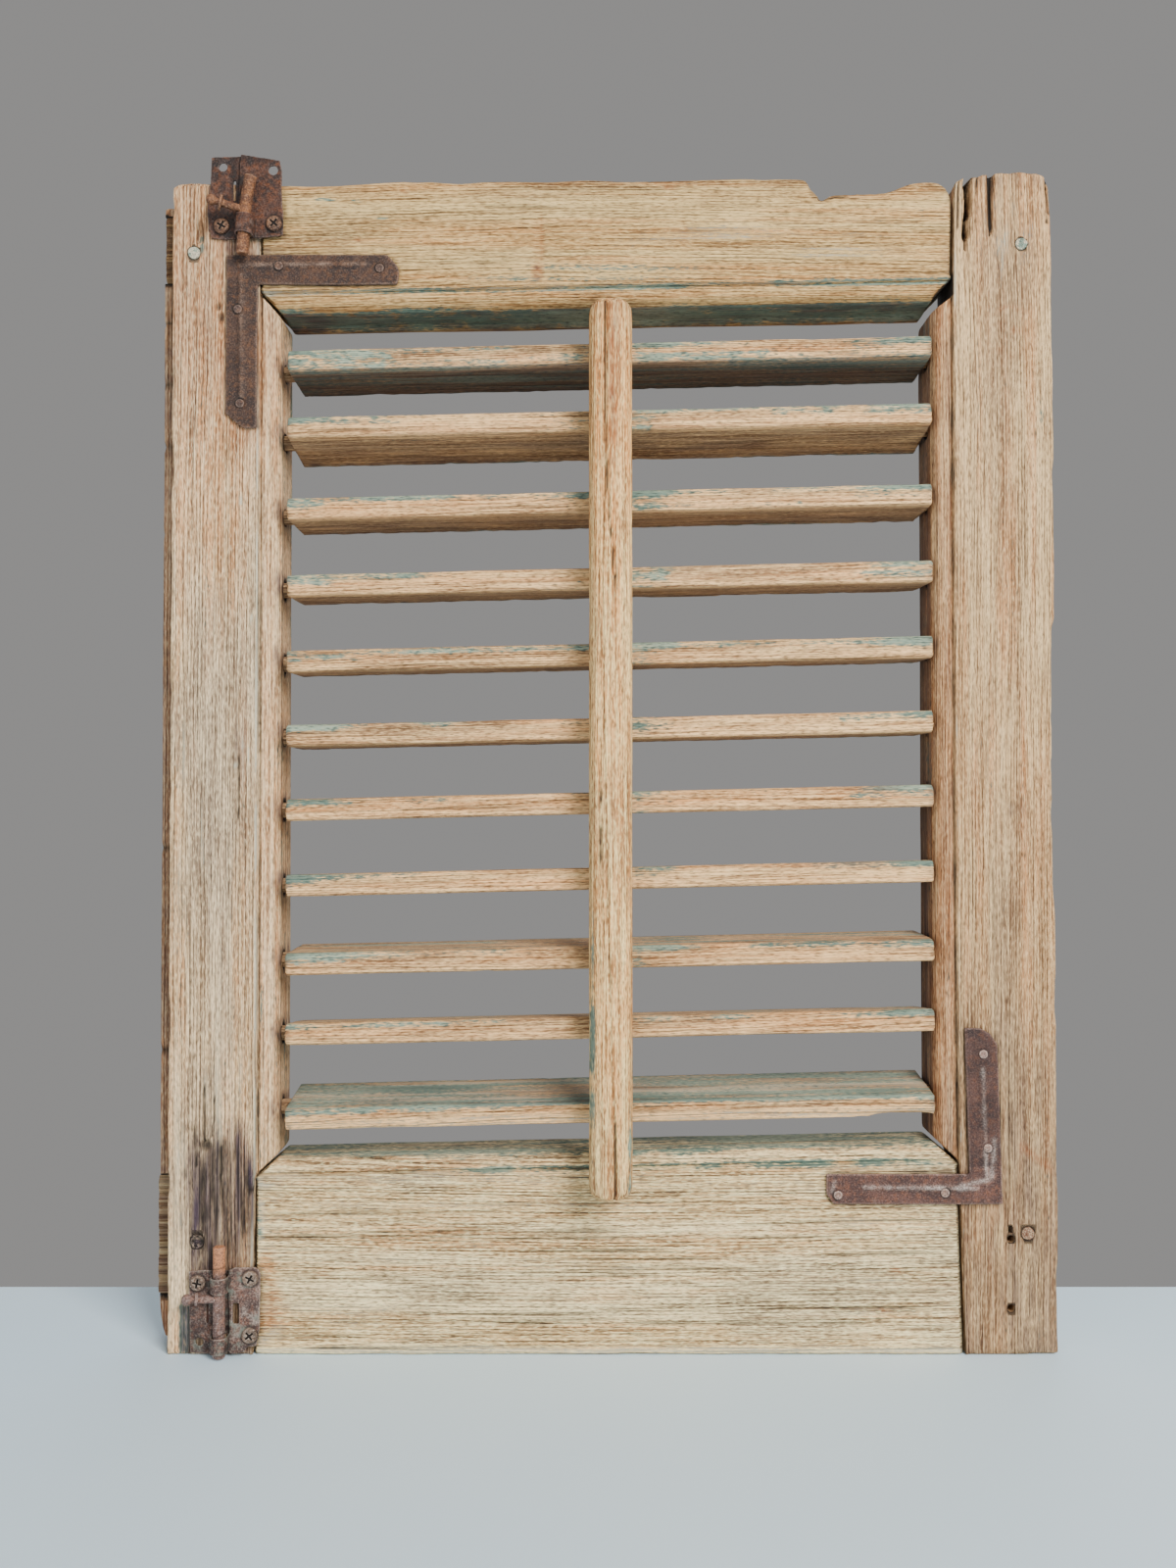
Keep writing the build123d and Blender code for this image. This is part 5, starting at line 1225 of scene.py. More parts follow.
        # rust run at the left end, spots, greenish wash
        s = np.exp(-((x + 149.4 - 1.6 * vn(z / 7, 0, 0, 152)) / (3.0 + 3.0 * sstep(34, 18, z))) ** 2) * sstep(8, 16, z) * sstep(56, 38, z)
        m.add("rust", (0.3 + 0.26 * sstep(36, 26, z)) * s * fw * np.clip(0.8 + 0.5 * vn(x / 2.0, z / 1.2, 0, 158), 0, 1)); m.add("orange", 1.0 * np.clip(1.6 * s, 0, 1) * fw)
        for cx, cz, rx, rz in ((131.4, 37.7, 2.6, 1.6), (126.0, 19.8, 2.8, 1.4), (-125.9, 35.9, 4.0, 1.4), (-60.0, 60.0, 2.4, 1.2), (40.0, 26.0, 2.6, 1.1)):
            m.add("rust", 0.7 * fw * blob(x, z, cx, cz, rx, rz))
        m.add("pale", 0.5 * fw * sstep(-128, -152, x) * np.clip(0.55 + fbm(x / 8, z / 4, 0, 153, 2), 0, 1))
        for za, zb, xa, xb, v, sd in ((61.8, 63.9, -156.4, -40.0, 0.85, 1), (51.5, 54.6, -156.4, 20.0, 0.95, 2), (57.5, 60.5, 60.0, 161.0, 0.7, 3), (44.0, 46.0, 96.0, 161.0, 0.75, 4), (66.5, 68.0, -60.0, 40.0, 0.6, 5), (36.5, 38.0, -40.0, 70.0, 0.7, 6), (14.0, 15.5, -120.0, 10.0, 0.7, 7), (26.5, 27.6, 90.0, 161.0, 0.7, 8)):
            zl = za + (zb - za) * (x - xa) / (xb - xa) + 0.35 * np.sin(x / 21.0 + sd)
            g = v * np.clip(1.15 - np.abs(z - zl) / 0.85, 0, 1) * sstep(xa - 1, xa + 4, x) * sstep(xb, xb - 22, x) * fw * np.clip(0.8 + 0.6 * vn(x / 22.0, za, 0.3, 157), 0, 1)
            d += 0.7 * g; m.add("dark", 0.9 * g)
        m.add("paint", 0.5 * fw * blob(x, z, -155.0, 58.0, 3.4, 12.0, 3.0)); m.add("pale", 0.6 * fw * blob(x, z, -154.5, 60.0, 4.0, 14.0, 3.0))
        m.add("pale", 0.6 * fw * sstep(-134, -152, x) * sstep(48, 62, z) * np.clip(0.5 + 0.7 * vn(x / 6.0, z / 3.0, 0.2, 156), 0, 1))
        m.add("grey", 0.75 * fw * sstep(126, 156, x))
        m.add("pale", 0.40 * fw * np.clip(fbm(x / 60, z / 3.5, 0, 154, 2) + 0.35, 0, 1))
        m.add("orange", 0.65 * fw * blob(x, z, -70.0, 45.0, 50.0, 18.0) * np.clip(fbm(x / 40, z / 3, 0, 155, 2) + 0.45, 0, 1))
        m.add("pale", 0.7 * fw * sstep(7, 1, z))
    m.dark *= np.where(j == nt, 0.3, 1.0)
    P = P - N * d[:, None]
    if not top:
        P[:, 2] = np.maximum(P[:, 2], 0.0)
        keep = (P[:, 2] < 1.0) & (N[:, 2] < -0.6)
        P[keep, 2] = np.minimum(P[keep, 2], 0.3)
    attrs = m.attrs()
    attrs["ring"] = ring
    attrs["gp"] = np.stack([x, z, y], -1) * MM
    attrs["mT"] = tone(x, z, y, seed)
    parts = [(P, orient(P, F), attrs)]
    ob = make_mesh("rail_%s_wood" % which, parts[0][0], parts[0][1], parts[0][2])
    # tenons, with end grain at their outer ends
    if top:
        tn = [((-195.3, -154.0), (-4.5, 4.5), (488.0, 519.0)), ((-203.0, -190.0), (0.2, 4.5), (488.0, 519.0)), ((157.0, 202.9), (-4.5, 4.5), (488.0, 519.0))]
    else:
        tn = [((-195.3, -154.0), (-4.5, 4.5), (22.0, 76.0)), ((-204.1, -190.0), (0.2, 4.5), (22.0, 76.0)), ((158.0, 203.6), (-4.5, 4.5), (22.0, 66.0))]
    for (a, b), (c, e), (f0, f1) in tn:
        nn = (int((f1 - f0) / 1.3), 6, 14)
        ij, TF = lattice(*nn)
        zz = f1 - (f1 - f0) * ij[:, 0] / nn[0]
        yy = c + (e - c) * ij[:, 1] / nn[1]
        xx_ = a + (b - a) * ij[:, 2] / nn[2]
        TP = np.stack([xx_, yy, zz], -1).astype(float)
        TF = orient(TP, TF)
        TP = wear_edges(TP, TF, np.full(len(TP), 0.7), 3)
        end = np.abs(xx_) > 190
        TP[:, 0] += np.where(end, -np.sign(xx_) * 0.5 * np.clip(fbm(yy / 1.5, zz / 1.5, xx_ * 0, seed + 88, 2) + 0.4, 0, 1), 0)
        mm = Masks(len(TP))
        mm.add("grey", 0.6 * end); mm.add("rust", 0.35 * end); mm.add("stain_and_shade", (0.95 if xx_.min() < 0 else 0.5) * end * np.clip(0.8 + 0.5 * vn(zz / 1.4, yy, 0.3, 160), 0, 1))
        at = mm.attrs()
        at["ring"] = ring_field(TP[:, 0], TP[:, 2], TP[:, 1], (430.0, 60.0) if top else (-62.0, 40.0), 2.4, seed)
        at["gp"] = np.stack([TP[:, 0], TP[:, 2], TP[:, 1]], -1) * MM
        at["mT"] = tone(TP[:, 0], TP[:, 2], TP[:, 1], seed)
        tob = make_mesh("tenon", TP, orient(TP, TF), at)
        boolean(ob, tob, "UNION")
    if top:
        hs = [(-148.6, 508.4, 1.7), (-101.0, 488.6, 1.1), (-146.6, 489.6, 1.1)]
        pg = [(-185.5, 496.3, 2.95), (189.7, 500.4, 2.85)]
    else:
        hs = [(-157.4, 34.9, 1.7), (-157.6, 9.7, 1.7), (152.8, 72.6, 1.1), (104.9, 71.6, 1.1), (-181.3, 32.4, 1.7)]
        pg = [(-182.0, 50.3, 3.3), (190.3, 54.0, 3.1)]
    cut(ob, [[tube_arrays((hx, -20, hz), (hx, 20, hz), hr, 18, 3) for hx, hz, hr in pg],
             [tube_arrays((hx, -20, hz), (hx, 1.0, hz), hr, 14, 3) for hx, hz, hr in hs]])
    fill_cuts(ob)
    return settle(ob, "frame", ["rail_" + which], M_RAIL_T if top else M_RAIL_B)


# =====================================================================
# slats
# =====================================================================
# paint left on the front edges: x from, x to, height from, height to, strength
PATCHES = {0: [(-150, -96, -5, 3.4, 1.0), (-96, -30, -4.5, -0.6, 0.6), (12, 74, -4.6, -0.4, 0.85), (74, 150, -5, -1.5, 0.6), (112, 150, -1, 5, 0.65), (-26, -6, -4, 1, 0.6)],
           1: [(-150, -92, 0.6, 5, 0.8), (10, 23, -5, 5, 0.85), (-24, -6, -4, 2, 0.55), (78, 150, 0.2, 5, 0.85)],
           2: [(10, 27, -5, 5, 0.95), (112, 150, -1, 5, 0.7), (-150, -126, 0, 5, 0.8), (28, 92, -5, -2.2, 0.5), (-22, -6, -3, 3, 0.5)],
           3: [(10, 28, -5, 5, 0.8), (116, 150, -3, 1, 0.65), (-150, -120, 0.5, 5, 0.7), (-26, -8, -5, -1, 0.7)],
           4: [(-150, -112, 0, 5, 0.75), (10, 22, -5, 5, 0.7), (118, 150, 0, 5, 0.7)],
           5: [(-150, -120, 1, 5, 0.75), (10, 24, -3, 5, 0.75), (104, 150, 1, 5, 0.7)],
           6: [(-150, -108, 1.2, 5, 0.8), (10, 20, -5, 5, 0.6), (112, 150, 0, 5, 0.65)],
           7: [(-150, -126, -1, 5, 0.7), (10, 26, 0, 5, 0.7), (96, 150, 2, 5, 0.6)],
           8: [(-150, -118, 0.5, 5, 0.75), (10, 20, -5, 5, 0.6), (120, 150, -1, 5, 0.65)],
           9: [(-150, -60, 2.6, 5, 0.75), (10, 60, 3, 5, 0.6), (118, 150, 2, 5, 0.6)],
           10: [(-150, -100, 2.4, 5, 0.9), (60, 150, 3.2, 5, 0.7)]}
COMMON = []


def slat(kk):
    seed = 200 + 13 * kk
    rng = np.random.RandomState(seed)
    L0, L1 = -142.4 - XC, 148.3 - XC
    # half section: rounded nose with an upper and a lower facet
    hw, ht = 18.2, 5.0
    bev = rng.uniform(3.3, 4.0)
    upper = pieces_between([(-hw, 0.0), (-hw + 0.06, bev), (-hw + 0.5, 4.6), (-hw + 1.6, 4.95), (0.0, ht), (hw - 1.8, 4.95), (hw - 0.3, 3.9), (hw, 0.0)], [4, 2, 2, 14, 11, 2, 3])
    lower = pieces_between([(hw, 0.0), (hw - 0.3, -3.9), (hw - 1.8, -4.95), (0.0, -ht), (-hw + 1.2, -4.97), (-hw + 0.25, -4.5), (-hw, -3.9), (-hw, 0.0)], [3, 2, 11, 14, 2, 2, 4])
    us = stations(L0, L1, 3.4, [(L0, L0 + 5, 0.7), (L1 - 5, L1, 0.7)])
    nu = len(us) - 1
    ring_pts = np.concatenate([upper[:-1], lower[:-1]])   # w (depth), h (height)
    n_ring = len(ring_pts)
    W = np.tile(ring_pts[:, 0], nu + 1); Hh = np.tile(ring_pts[:, 1], nu + 1); Lx = np.repeat(us, n_ring)
    # the section repeated at every station
    P0 = np.stack([Lx, W, Hh], -1)
    Fs = []
    idxs = np.arange((nu + 1) * n_ring).reshape(nu + 1, n_ring)
    a = idxs[:-1]; b = idxs[1:]
    Fs.append(np.stack([a.ravel(), np.roll(a, -1, 1).ravel(), np.roll(b, -1, 1).ravel(), b.ravel()], -1))
    # caps: strips between upper and lower skin
    m_half = n_ring // 2
    for row, flip in ((idxs[0], False), (idxs[-1], True)):
        up = row[:m_half + 1]
        dn = np.concatenate([[row[0]], row[::-1][:m_half]])
        for q in range(0, m_half):
            quad = [up[q], up[q + 1], dn[q + 1], dn[q]]
            if len(set(quad)) == 4:
                Fs.append(np.array([quad if flip else quad[::-1]]))
    P = P0
    tri = []
    F = np.concatenate(Fs)
    F = orient(P, F)
    lx, w_, h_ = P[:, 0].copy(), P[:, 1].copy(), P[:, 2].copy()
    # worn corners at the ends, dressed edge
    e0, e1 = lx - L0, L1 - lx
    for e in (e0, e1):
        rr = rng.uniform(0.8, 1.6)
        c = np.clip(1 - e / rr, 0, 1) ** 2
        P[:, 1] *= 1 - 0.02 * c
        P[:, 2] *= 1 - 0.07 * c
    end_jit = 0.7 * fbm(w_ / 3.0, h_ / 3.0, seed * 0.1, seed, 2)
    P[:, 0] += np.where(e0 < 0.1, np.abs(end_jit) + 0.1, 0) - np.where(e1 < 0.1, np.abs(end_jit) + 0.1, 0)
    P = wear_edges(P, F, 0.25 + 0.45 * np.clip(0.5 + vn(lx / 6.0, w_ / 9.0, h_ / 5.0, seed + 1), 0, 1), 2)
    N, sh = normals(P, F)
    m = Masks(len(P))
    ring = ring_field(lx, w_, h_, (rng.uniform(-60, 60), rng.choice([-1, 1]) * rng.uniform(38, 90)), rng.uniform(1.0, 1.5), seed, 0.5)
    ring = ring + 0.8 * fbm(lx / 50.0, w_ / 6.0, h_ / 6.0, seed + 2, 2)
    d = relief(P, N, lx, w_, h_, ring, seed, 0.75)
    front = sstep(-12.5, -16.0, w_)
    # wavy wear of the nose
    d += 0.5 * front * np.clip(fbm(lx / 24.0, h_ / 4.0, 0.3, seed + 3, 2), 0, 1)
    d += 1.3 * front * np.clip(vn(lx / 7.0, h_ / 3.0, 0.3, seed + 4) - 0.55, 0, 1)
    xw = lx + XC
    up = sstep(0.0, 0.7, N[:, 2]); dn = sstep(0.0, 0.7, -N[:, 2])
    # green on the upper facet of the nose and on the top face
    nose_up = front * sstep(0.6, 3.2, h_)
    amt = rng.uniform(0.35, 0.6)
    ends = np.maximum(sstep(-108, -140, xw), sstep(104, 142, xw))
    ends = np.maximum(ends, 0.9 * blob(xw, 0 * xw, 22.0, 0.0, 14.0, 1.0))
    pn = np.clip(amt - 0.1 + 0.75 * fbm(lx / 26.0, 0.5, 0.2, seed + 5, 2) + 0.5 * ends, 0, 1)
    m.add("paint", nose_up * pn * 0.95)
    m.add("paint", 0.85 * front * ends * sstep(-3.5, 1.5, h_) * np.clip(0.35 + 0.9 * fbm(lx / 14.0, h_ / 3.0, 0.2, seed + 15, 3), 0, 1))
    m.add("paint", up * sstep(-15, -10, w_) * (0.35 + 0.3 * vn(lx / 30.0, w_ / 8.0, 0, seed + 6)))
    m.add("grey", 0.8 * up * sstep(-15.5, -12, w_))
    # worn, pale lower half of the front; paint left in patches
    m.add("light", 0.85 * front * sstep(-0.2, -1.8, h_ + 0.5 * vn(lx / 30.0, 0.1, 0.4, seed + 18)) * np.clip(0.75 + 0.5 * fbm(lx / 26.0, 0.4, 0.2, seed + 19, 2), 0, 1))
    for a0, a1, b0, b1, v in PATCHES.get(kk, []) + COMMON:
        jx = 6.0 * fbm(h_ / 1.6, lx / 9.0, 0.3, seed + 21, 2)
        jh = 1.1 * fbm(lx / 5.0, h_ / 2.0, 0.6, seed + 22, 2)
        r_ = sstep(a0 - 5, a0 + 3, xw + jx) * sstep(a1 + 5, a1 - 3, xw + jx) * sstep(b0 - 0.7, b0 + 0.5, h_ + jh) * sstep(b1 + 0.7, b1 - 0.5, h_ + jh)
        m.add("paint", v * r_ * front * np.clip(0.72 + 0.7 * fbm(lx / 7.0, h_ / 1.5, 0.2, seed + 23, 2), 0, 1))
        m.add("grey", 0.5 * v * r_ * front)
    m.add("orange", front * sstep(2.2, -1.0, h_) * np.clip(0.6 + 0.7 * fbm(lx / 38.0, 0.3, 0.1, seed + 7, 2), 0, 1) * 0.8)
    # underside: grey-brown, with a paint line at its back edge
    rear = dn * sstep(8.0, 15.0, w_)
    d += 0.8 * rear * np.clip(fbm(lx / 5.0, w_ / 3.0, 0.3, seed + 16, 3) + 0.15, 0, 1)
    m.add("stain_and_shade", 0.8 * rear * np.clip(0.5 + vn(lx / 4.0, w_ / 2.0, 0.1, seed + 17), 0, 1))
    m.add("grey", 0.9 * dn)
    m.add("stain_and_shade", 0.50 * dn * (0.5 + 0.5 * sstep(-14.0, 0.0, w_)) * np.clip(0.6 + fbm(lx / 30.0, w_ / 5.0, 0, seed + 8, 2), 0, 1))
    m.add("pale", 0.8 * dn * sstep(13.5, 16.5, w_) * np.clip(1.5 * vn(lx / 3.0, w_ / 1.5, 0.2, seed + 24), 0, 1))
    m.add("paint", 0.8 * dn * sstep(12.0, 17.0, w_) * np.clip(0.55 + vn(lx / 12.0, 0.3, 0.2, seed + 9), 0, 1))
    # end marks and grime, with painted shade where the ends meet the stiles
    m.add("stain_and_shade", 0.6 * np.clip(sstep(5, 0, e0) + sstep(5, 0, e1), 0, 1) * np.clip(0.6 + vn(lx / 2, w_ / 3, h_ / 2, seed + 10), 0, 1))
    for _c in range(rng.randint(1, 4)):
        cx = rng.uniform(-120, 120); ch = rng.uniform(-3, 2.5); ln = rng.uniform(10, 40)
        g = np.clip(1 - np.abs(h_ - ch - 0.01 * (lx - cx)) / 0.6, 0, 1) * sstep(-ln, -ln + 8, lx - cx) * sstep(ln, ln - 8, lx - cx) * front
        d += 0.4 * g; m.add("dark", 0.6 * g)
    if kk == 3:
        g = np.clip(1 - np.abs(w_ + 9.0) / 0.9, 0, 1) * dn * sstep(-60, -80, xw)
        d += 1.0 * g; m.add("dark", g)
    if kk == 0:
        m.add("paint", 0.72 * dn * np.clip(0.8 + 0.5 * fbm(lx / 30.0, w_ / 4.0, 0.2, seed + 27, 2), 0, 1)); m.add("stain_and_shade", 0.7 * dn); m.add("dark", 0.42 * dn * sstep(-13.0, -9.0, w_))
    if kk == 10:
        m.add("light", 0.95 * front * sstep(1.5, -0.5, h_)); m.add("pale", 0.42 * front * sstep(1.5, -0.5, h_))
        g = blob(xw, h_, 134.0, -5.0, 15.0, 3.0, 3.0) * front
        d += 1.8 * g; m.add("orange", g)
        m.add("pale", 0.72 * up * np.clip(0.8 + 0.6 * fbm(lx / 30.0, w_ / 3.0, 0.2, seed + 28, 2), 0, 1))
        m.add("paint", up * np.clip(0.56 + 0.35 * sstep(-6, -14, w_) + 0.6 * fbm(lx / 40.0, w_ / 3.0, 0.2, seed + 25, 3), 0, 1))
        m.add("grey", 1.0 * up); m.orange *= 1 - up
        m.add("stain_and_shade", 0.5 * up * np.clip(0.25 + 1.2 * fbm(lx / 50.0, w_ / 2.0, 0.2, seed + 26, 3) + 0.5 * blob(xw, 0 * xw, 0.0, 0.0, 34.0, 1.0), 0, 1))
    if kk in (7, 6):
        m.add("rust", 0.4 * nose_up * blob(xw, 0 * xw, 105.0, 0.0, 30.0, 1.0))
    P = P - N * d[:, None]
    # place: tilt about the slat's own axis, slope along X, move to its pivot
    a = math.radians(-SLAT_TILT[kk])
    Y = P[:, 1] * math.cos(a) - P[:, 2] * math.sin(a)
    Z = P[:, 1] * math.sin(a) + P[:, 2] * math.cos(a)
    X = P[:, 0] * math.cos(PHI) - Z * math.sin(PHI)
    Z2 = P[:, 0] * math.sin(PHI) + Z * math.cos(PHI)
    W3 = np.stack([X + XC, Y, Z2 + SLAT_Z[kk]], -1)
    attrs = m.attrs()
    attrs["ring"] = ring
    attrs["gp"] = np.stack([lx + 37.0 * kk, w_, h_], -1) * MM
    attrs["mT"] = tone(lx, w_, h_, seed)
    parts = [(W3, orient(W3, F), attrs)]
    # round pivots
    for x0, x1 in ((-153.7, -141.6), (147.6, 158.0)):
        PP, PF = tube_arrays((x0, 0, SLAT_Z[kk] + (x0 - XC) * TPHI), (x1, 0, SLAT_Z[kk] + (x1 - XC) * TPHI), 3.45, 20, 6)
        mm = Masks(len(PP)); mm.add("grey", np.full(len(PP), 0.8)); mm.add("stain_and_shade", np.full(len(PP), 0.5))
        at = mm.attrs(); at["ring"] = PP[:, 2] / 2.0; at["gp"] = PP * MM; at["mT"] = np.full((len(PP), 4), 0.5)
        parts.append((PP, PF, at))
    Pj, Fj, Aj = join_arrays(parts)
    ob = make_mesh("slat_%02d_wood" % (kk + 1), Pj, Fj, Aj)
    name = "slat_%02d" % (kk + 1)
    return settle(ob, name, [name], M_SLAT)


# =====================================================================
# tilt rod
# =====================================================================
def tilt_rod():
    z0, z1 = 75.6, 466.7
    back, hw, th = -27.8, 9.5, 12.0
    sec = pieces_between([(-hw, back), (-hw, back - 5.2), (-hw + 0.9, back - 8.2), (-hw + 3.0, back - 10.6), (-hw + 6.0, back - 11.7), (0, back - th),
                          (hw - 6.0, back - 11.7), (hw - 3.0, back - 10.6), (hw - 0.9, back - 8.2), (hw, back - 5.2), (hw, back), (-hw, back)],
                         [6, 3, 3, 3, 4, 4, 3, 3, 3, 6, 14])[:-1]
    nr = len(sec)
    zs = stations(z0, z1, 2.6, [(z0, z0 + 9, 0.9), (z1 - 9, z1, 0.9)])
    nu = len(zs) - 1
    X = np.tile(sec[:, 0], nu + 1); Y = np.tile(sec[:, 1], nu + 1); Z = np.repeat(zs, nr)
    # ends rounded in the front view
    wb = interp([(0, 6.8), (0.5, 7.6), (1.6, 8.6), (3.2, 9.2), (6.0, 9.5), (500, 9.5)])
    e0, e1 = Z - z0, z1 - Z
    k0 = np.minimum(wb(e0), wb(e1 * 0.9)) / 9.5
    X = X * k0
    ky = 1 - 0.10 * np.clip(1 - e0 / 2.5, 0, 1) ** 2 - 0.12 * np.clip(1 - e1 / 3.0, 0, 1) ** 2
    Y = back + (Y - back) * ky
    P = np.stack([X + XC, Y, Z], -1)
    idx = np.arange((nu + 1) * nr).reshape(nu + 1, nr)
    a, b = idx[:-1], idx[1:]
    Fs = [np.stack([a.ravel(), np.roll(a, -1, 1).ravel(), np.roll(b, -1, 1).ravel(), b.ravel()], -1)]
    # caps: three shrinking loops and a centre strip
    extra = []
    nP = len(P)
    for row, zz, sg in ((idx[0], z0, -1), (idx[-1], z1, 1)):
        c = P[row].mean(0)
        prev = row
        for f in (0.72, 0.42, 0.16):
            loop = c + (P[row] - c) * f
            loop[:, 2] = zz + sg * 0.0
            ids = np.arange(nP, nP + nr)
            extra.append(loop); nP += nr
            quad = np.stack([prev, np.roll(prev, -1), np.roll(ids, -1), ids], -1)
            Fs.append(quad if sg > 0 else quad[:, ::-1])
            prev = ids
        extra.append(c[None]); ci = nP; nP += 1
        for q in range(0, nr, 2):
            quad = [prev[q], prev[(q + 1) % nr], prev[(q + 2) % nr], ci]
            Fs.append(np.array([quad if sg > 0 else quad[::-1]]))
    P = np.concatenate([P] + extra)
    F = np.concatenate(Fs)
    F = orient(P, F)
    P = wear_edges(P, F, np.full(len(P), 0.7), 3)
    N, sh = normals(P, F)
    x, y, z = P[:, 0], P[:, 1], P[:, 2]
    m = Masks(len(P))
    ring = ring_field(z, x, y, (-30.0, 30.0), 1.25, 301, 0.5)
    d = relief(P, N, z, x, y, ring, 301, 0.8)
    fw = np.clip(-N[:, 1], 0, 1)
    d += 0.35 * np.clip(fbm(z / 30.0, x / 6.0, y / 6.0, 303, 2), 0, 1)
    m.add("orange", np.clip(0.55 + 0.7 * fbm(z / 50.0, x / 5.0, 0.0, 304, 2), 0, 1) * 0.75)
    # reddish-brown band down the middle of the upper part
    bc = XC + 1.0 + 0.9 * np.sin((z - 390.0) / 32.0)
    s = np.clip((3.1 - 0.9 * sstep(440, 390, z) - np.abs(x - bc + 0.6)) / 0.8, 0, 1) * sstep(372, 398, z) * sstep(468, 462, z)
    bn = np.clip(0.75 + 0.9 * fbm(z / 7.0, x / 1.7, 0.0, 305, 3), 0, 1)
    m.add("rust", 0.74 * s * fw * bn)
    m.add("stain_and_shade", 0.74 * s * fw * np.clip(0.42 + 1.3 * fbm(z / 5.0, x / 1.3, 0.4, 310, 3), 0, 1))
    m.add("light", 0.8 * fw * np.exp(-((x - XC - 5.4) / 1.4) ** 2) * np.clip(0.6 + vn(z / 40.0, 0.3, 0.1, 311), 0, 1))
    m.add("orange", 1.0 * sstep(280, 400, z)); m.add("rust", 0.16 * sstep(330, 420, z) * np.clip(0.7 + 0.6 * fbm(z / 50.0, x / 2.5, 0.0, 312, 2), 0, 1))
    s = np.exp(-((x - XC - 1.5) / 2.6) ** 2) * sstep(250, 280, z) * sstep(400, 370, z)
    m.add("rust", 0.22 * s * fw)
    # green left on the sides
    lw = sstep(-5.2, -8.2, x - XC); rw = sstep(5.2, 8.2, x - XC)
    m.add("paint", 0.72 * lw * sstep(205, 190, z) * np.clip(0.55 + vn(z / 9.0, 0.4, 0, 306), 0, 1))
    m.add("paint", 0.80 * rw * sstep(125, 108, z) * np.clip(0.7 + vn(z / 9.0, 0.8, 0, 307), 0, 1))
    m.add("paint", 0.5 * (lw + rw) * np.clip(fbm(z / 26.0, x / 9.0, 0, 308, 2) + 0.05, 0, 1))
    m.add("paint", 0.55 * sstep(0.4, 0.8, N[:, 1]))
    m.add("grey", 0.35 * lw)
    m.add("stain_and_shade", 0.4 * sstep(85, 76, z) * np.clip(0.5 + vn(x / 2, z / 3, 0, 309), 0, 1))
    m.add("stain_and_shade", 0.35 * sstep(458, 466, z))
    d += crack(x, z, m, [(0.6, 466.0, 1.0), (0.5, 430.0, 0.9), (0.8, 400.0, 0.7), (2.2, 372.0, 0.6), (5.2, 340.0, 0.5), (5.6, 322.0, 0.1)], 0.8, 1.3, 51, 0.3) * fw
    d += crack(x, z, m, [(4.6, 76.0, 0.9), (4.9, 100.0, 0.7), (4.7, 114.0, 0.1)], 0.8, 1.3, 52, 0.5) * fw
    d += crack(x, z, m, [(-1.5, 210.0, 0.1), (-1.2, 240.0, 0.5), (-1.6, 262.0, 0.1)], 0.6, 0.6, 53, 0.5) * fw
    d += crack(x, z, m, [(6.2, 300.0, 0.1), (6.0, 330.0, 0.5), (6.3, 352.0, 0.1)], 0.6, 0.6, 54, 0.5) * fw
    P = P - N * d[:, None]
    attrs = m.attrs()
    attrs["ring"] = ring
    attrs["gp"] = np.stack([z, x, y], -1) * MM
    attrs["mT"] = tone(z, x, y, 301)
    ob = make_mesh("tilt_rod_wood", P, orient(P, F), attrs)
    return settle(ob, "tilt_rod", ["tilt_rod"], M_ROD)


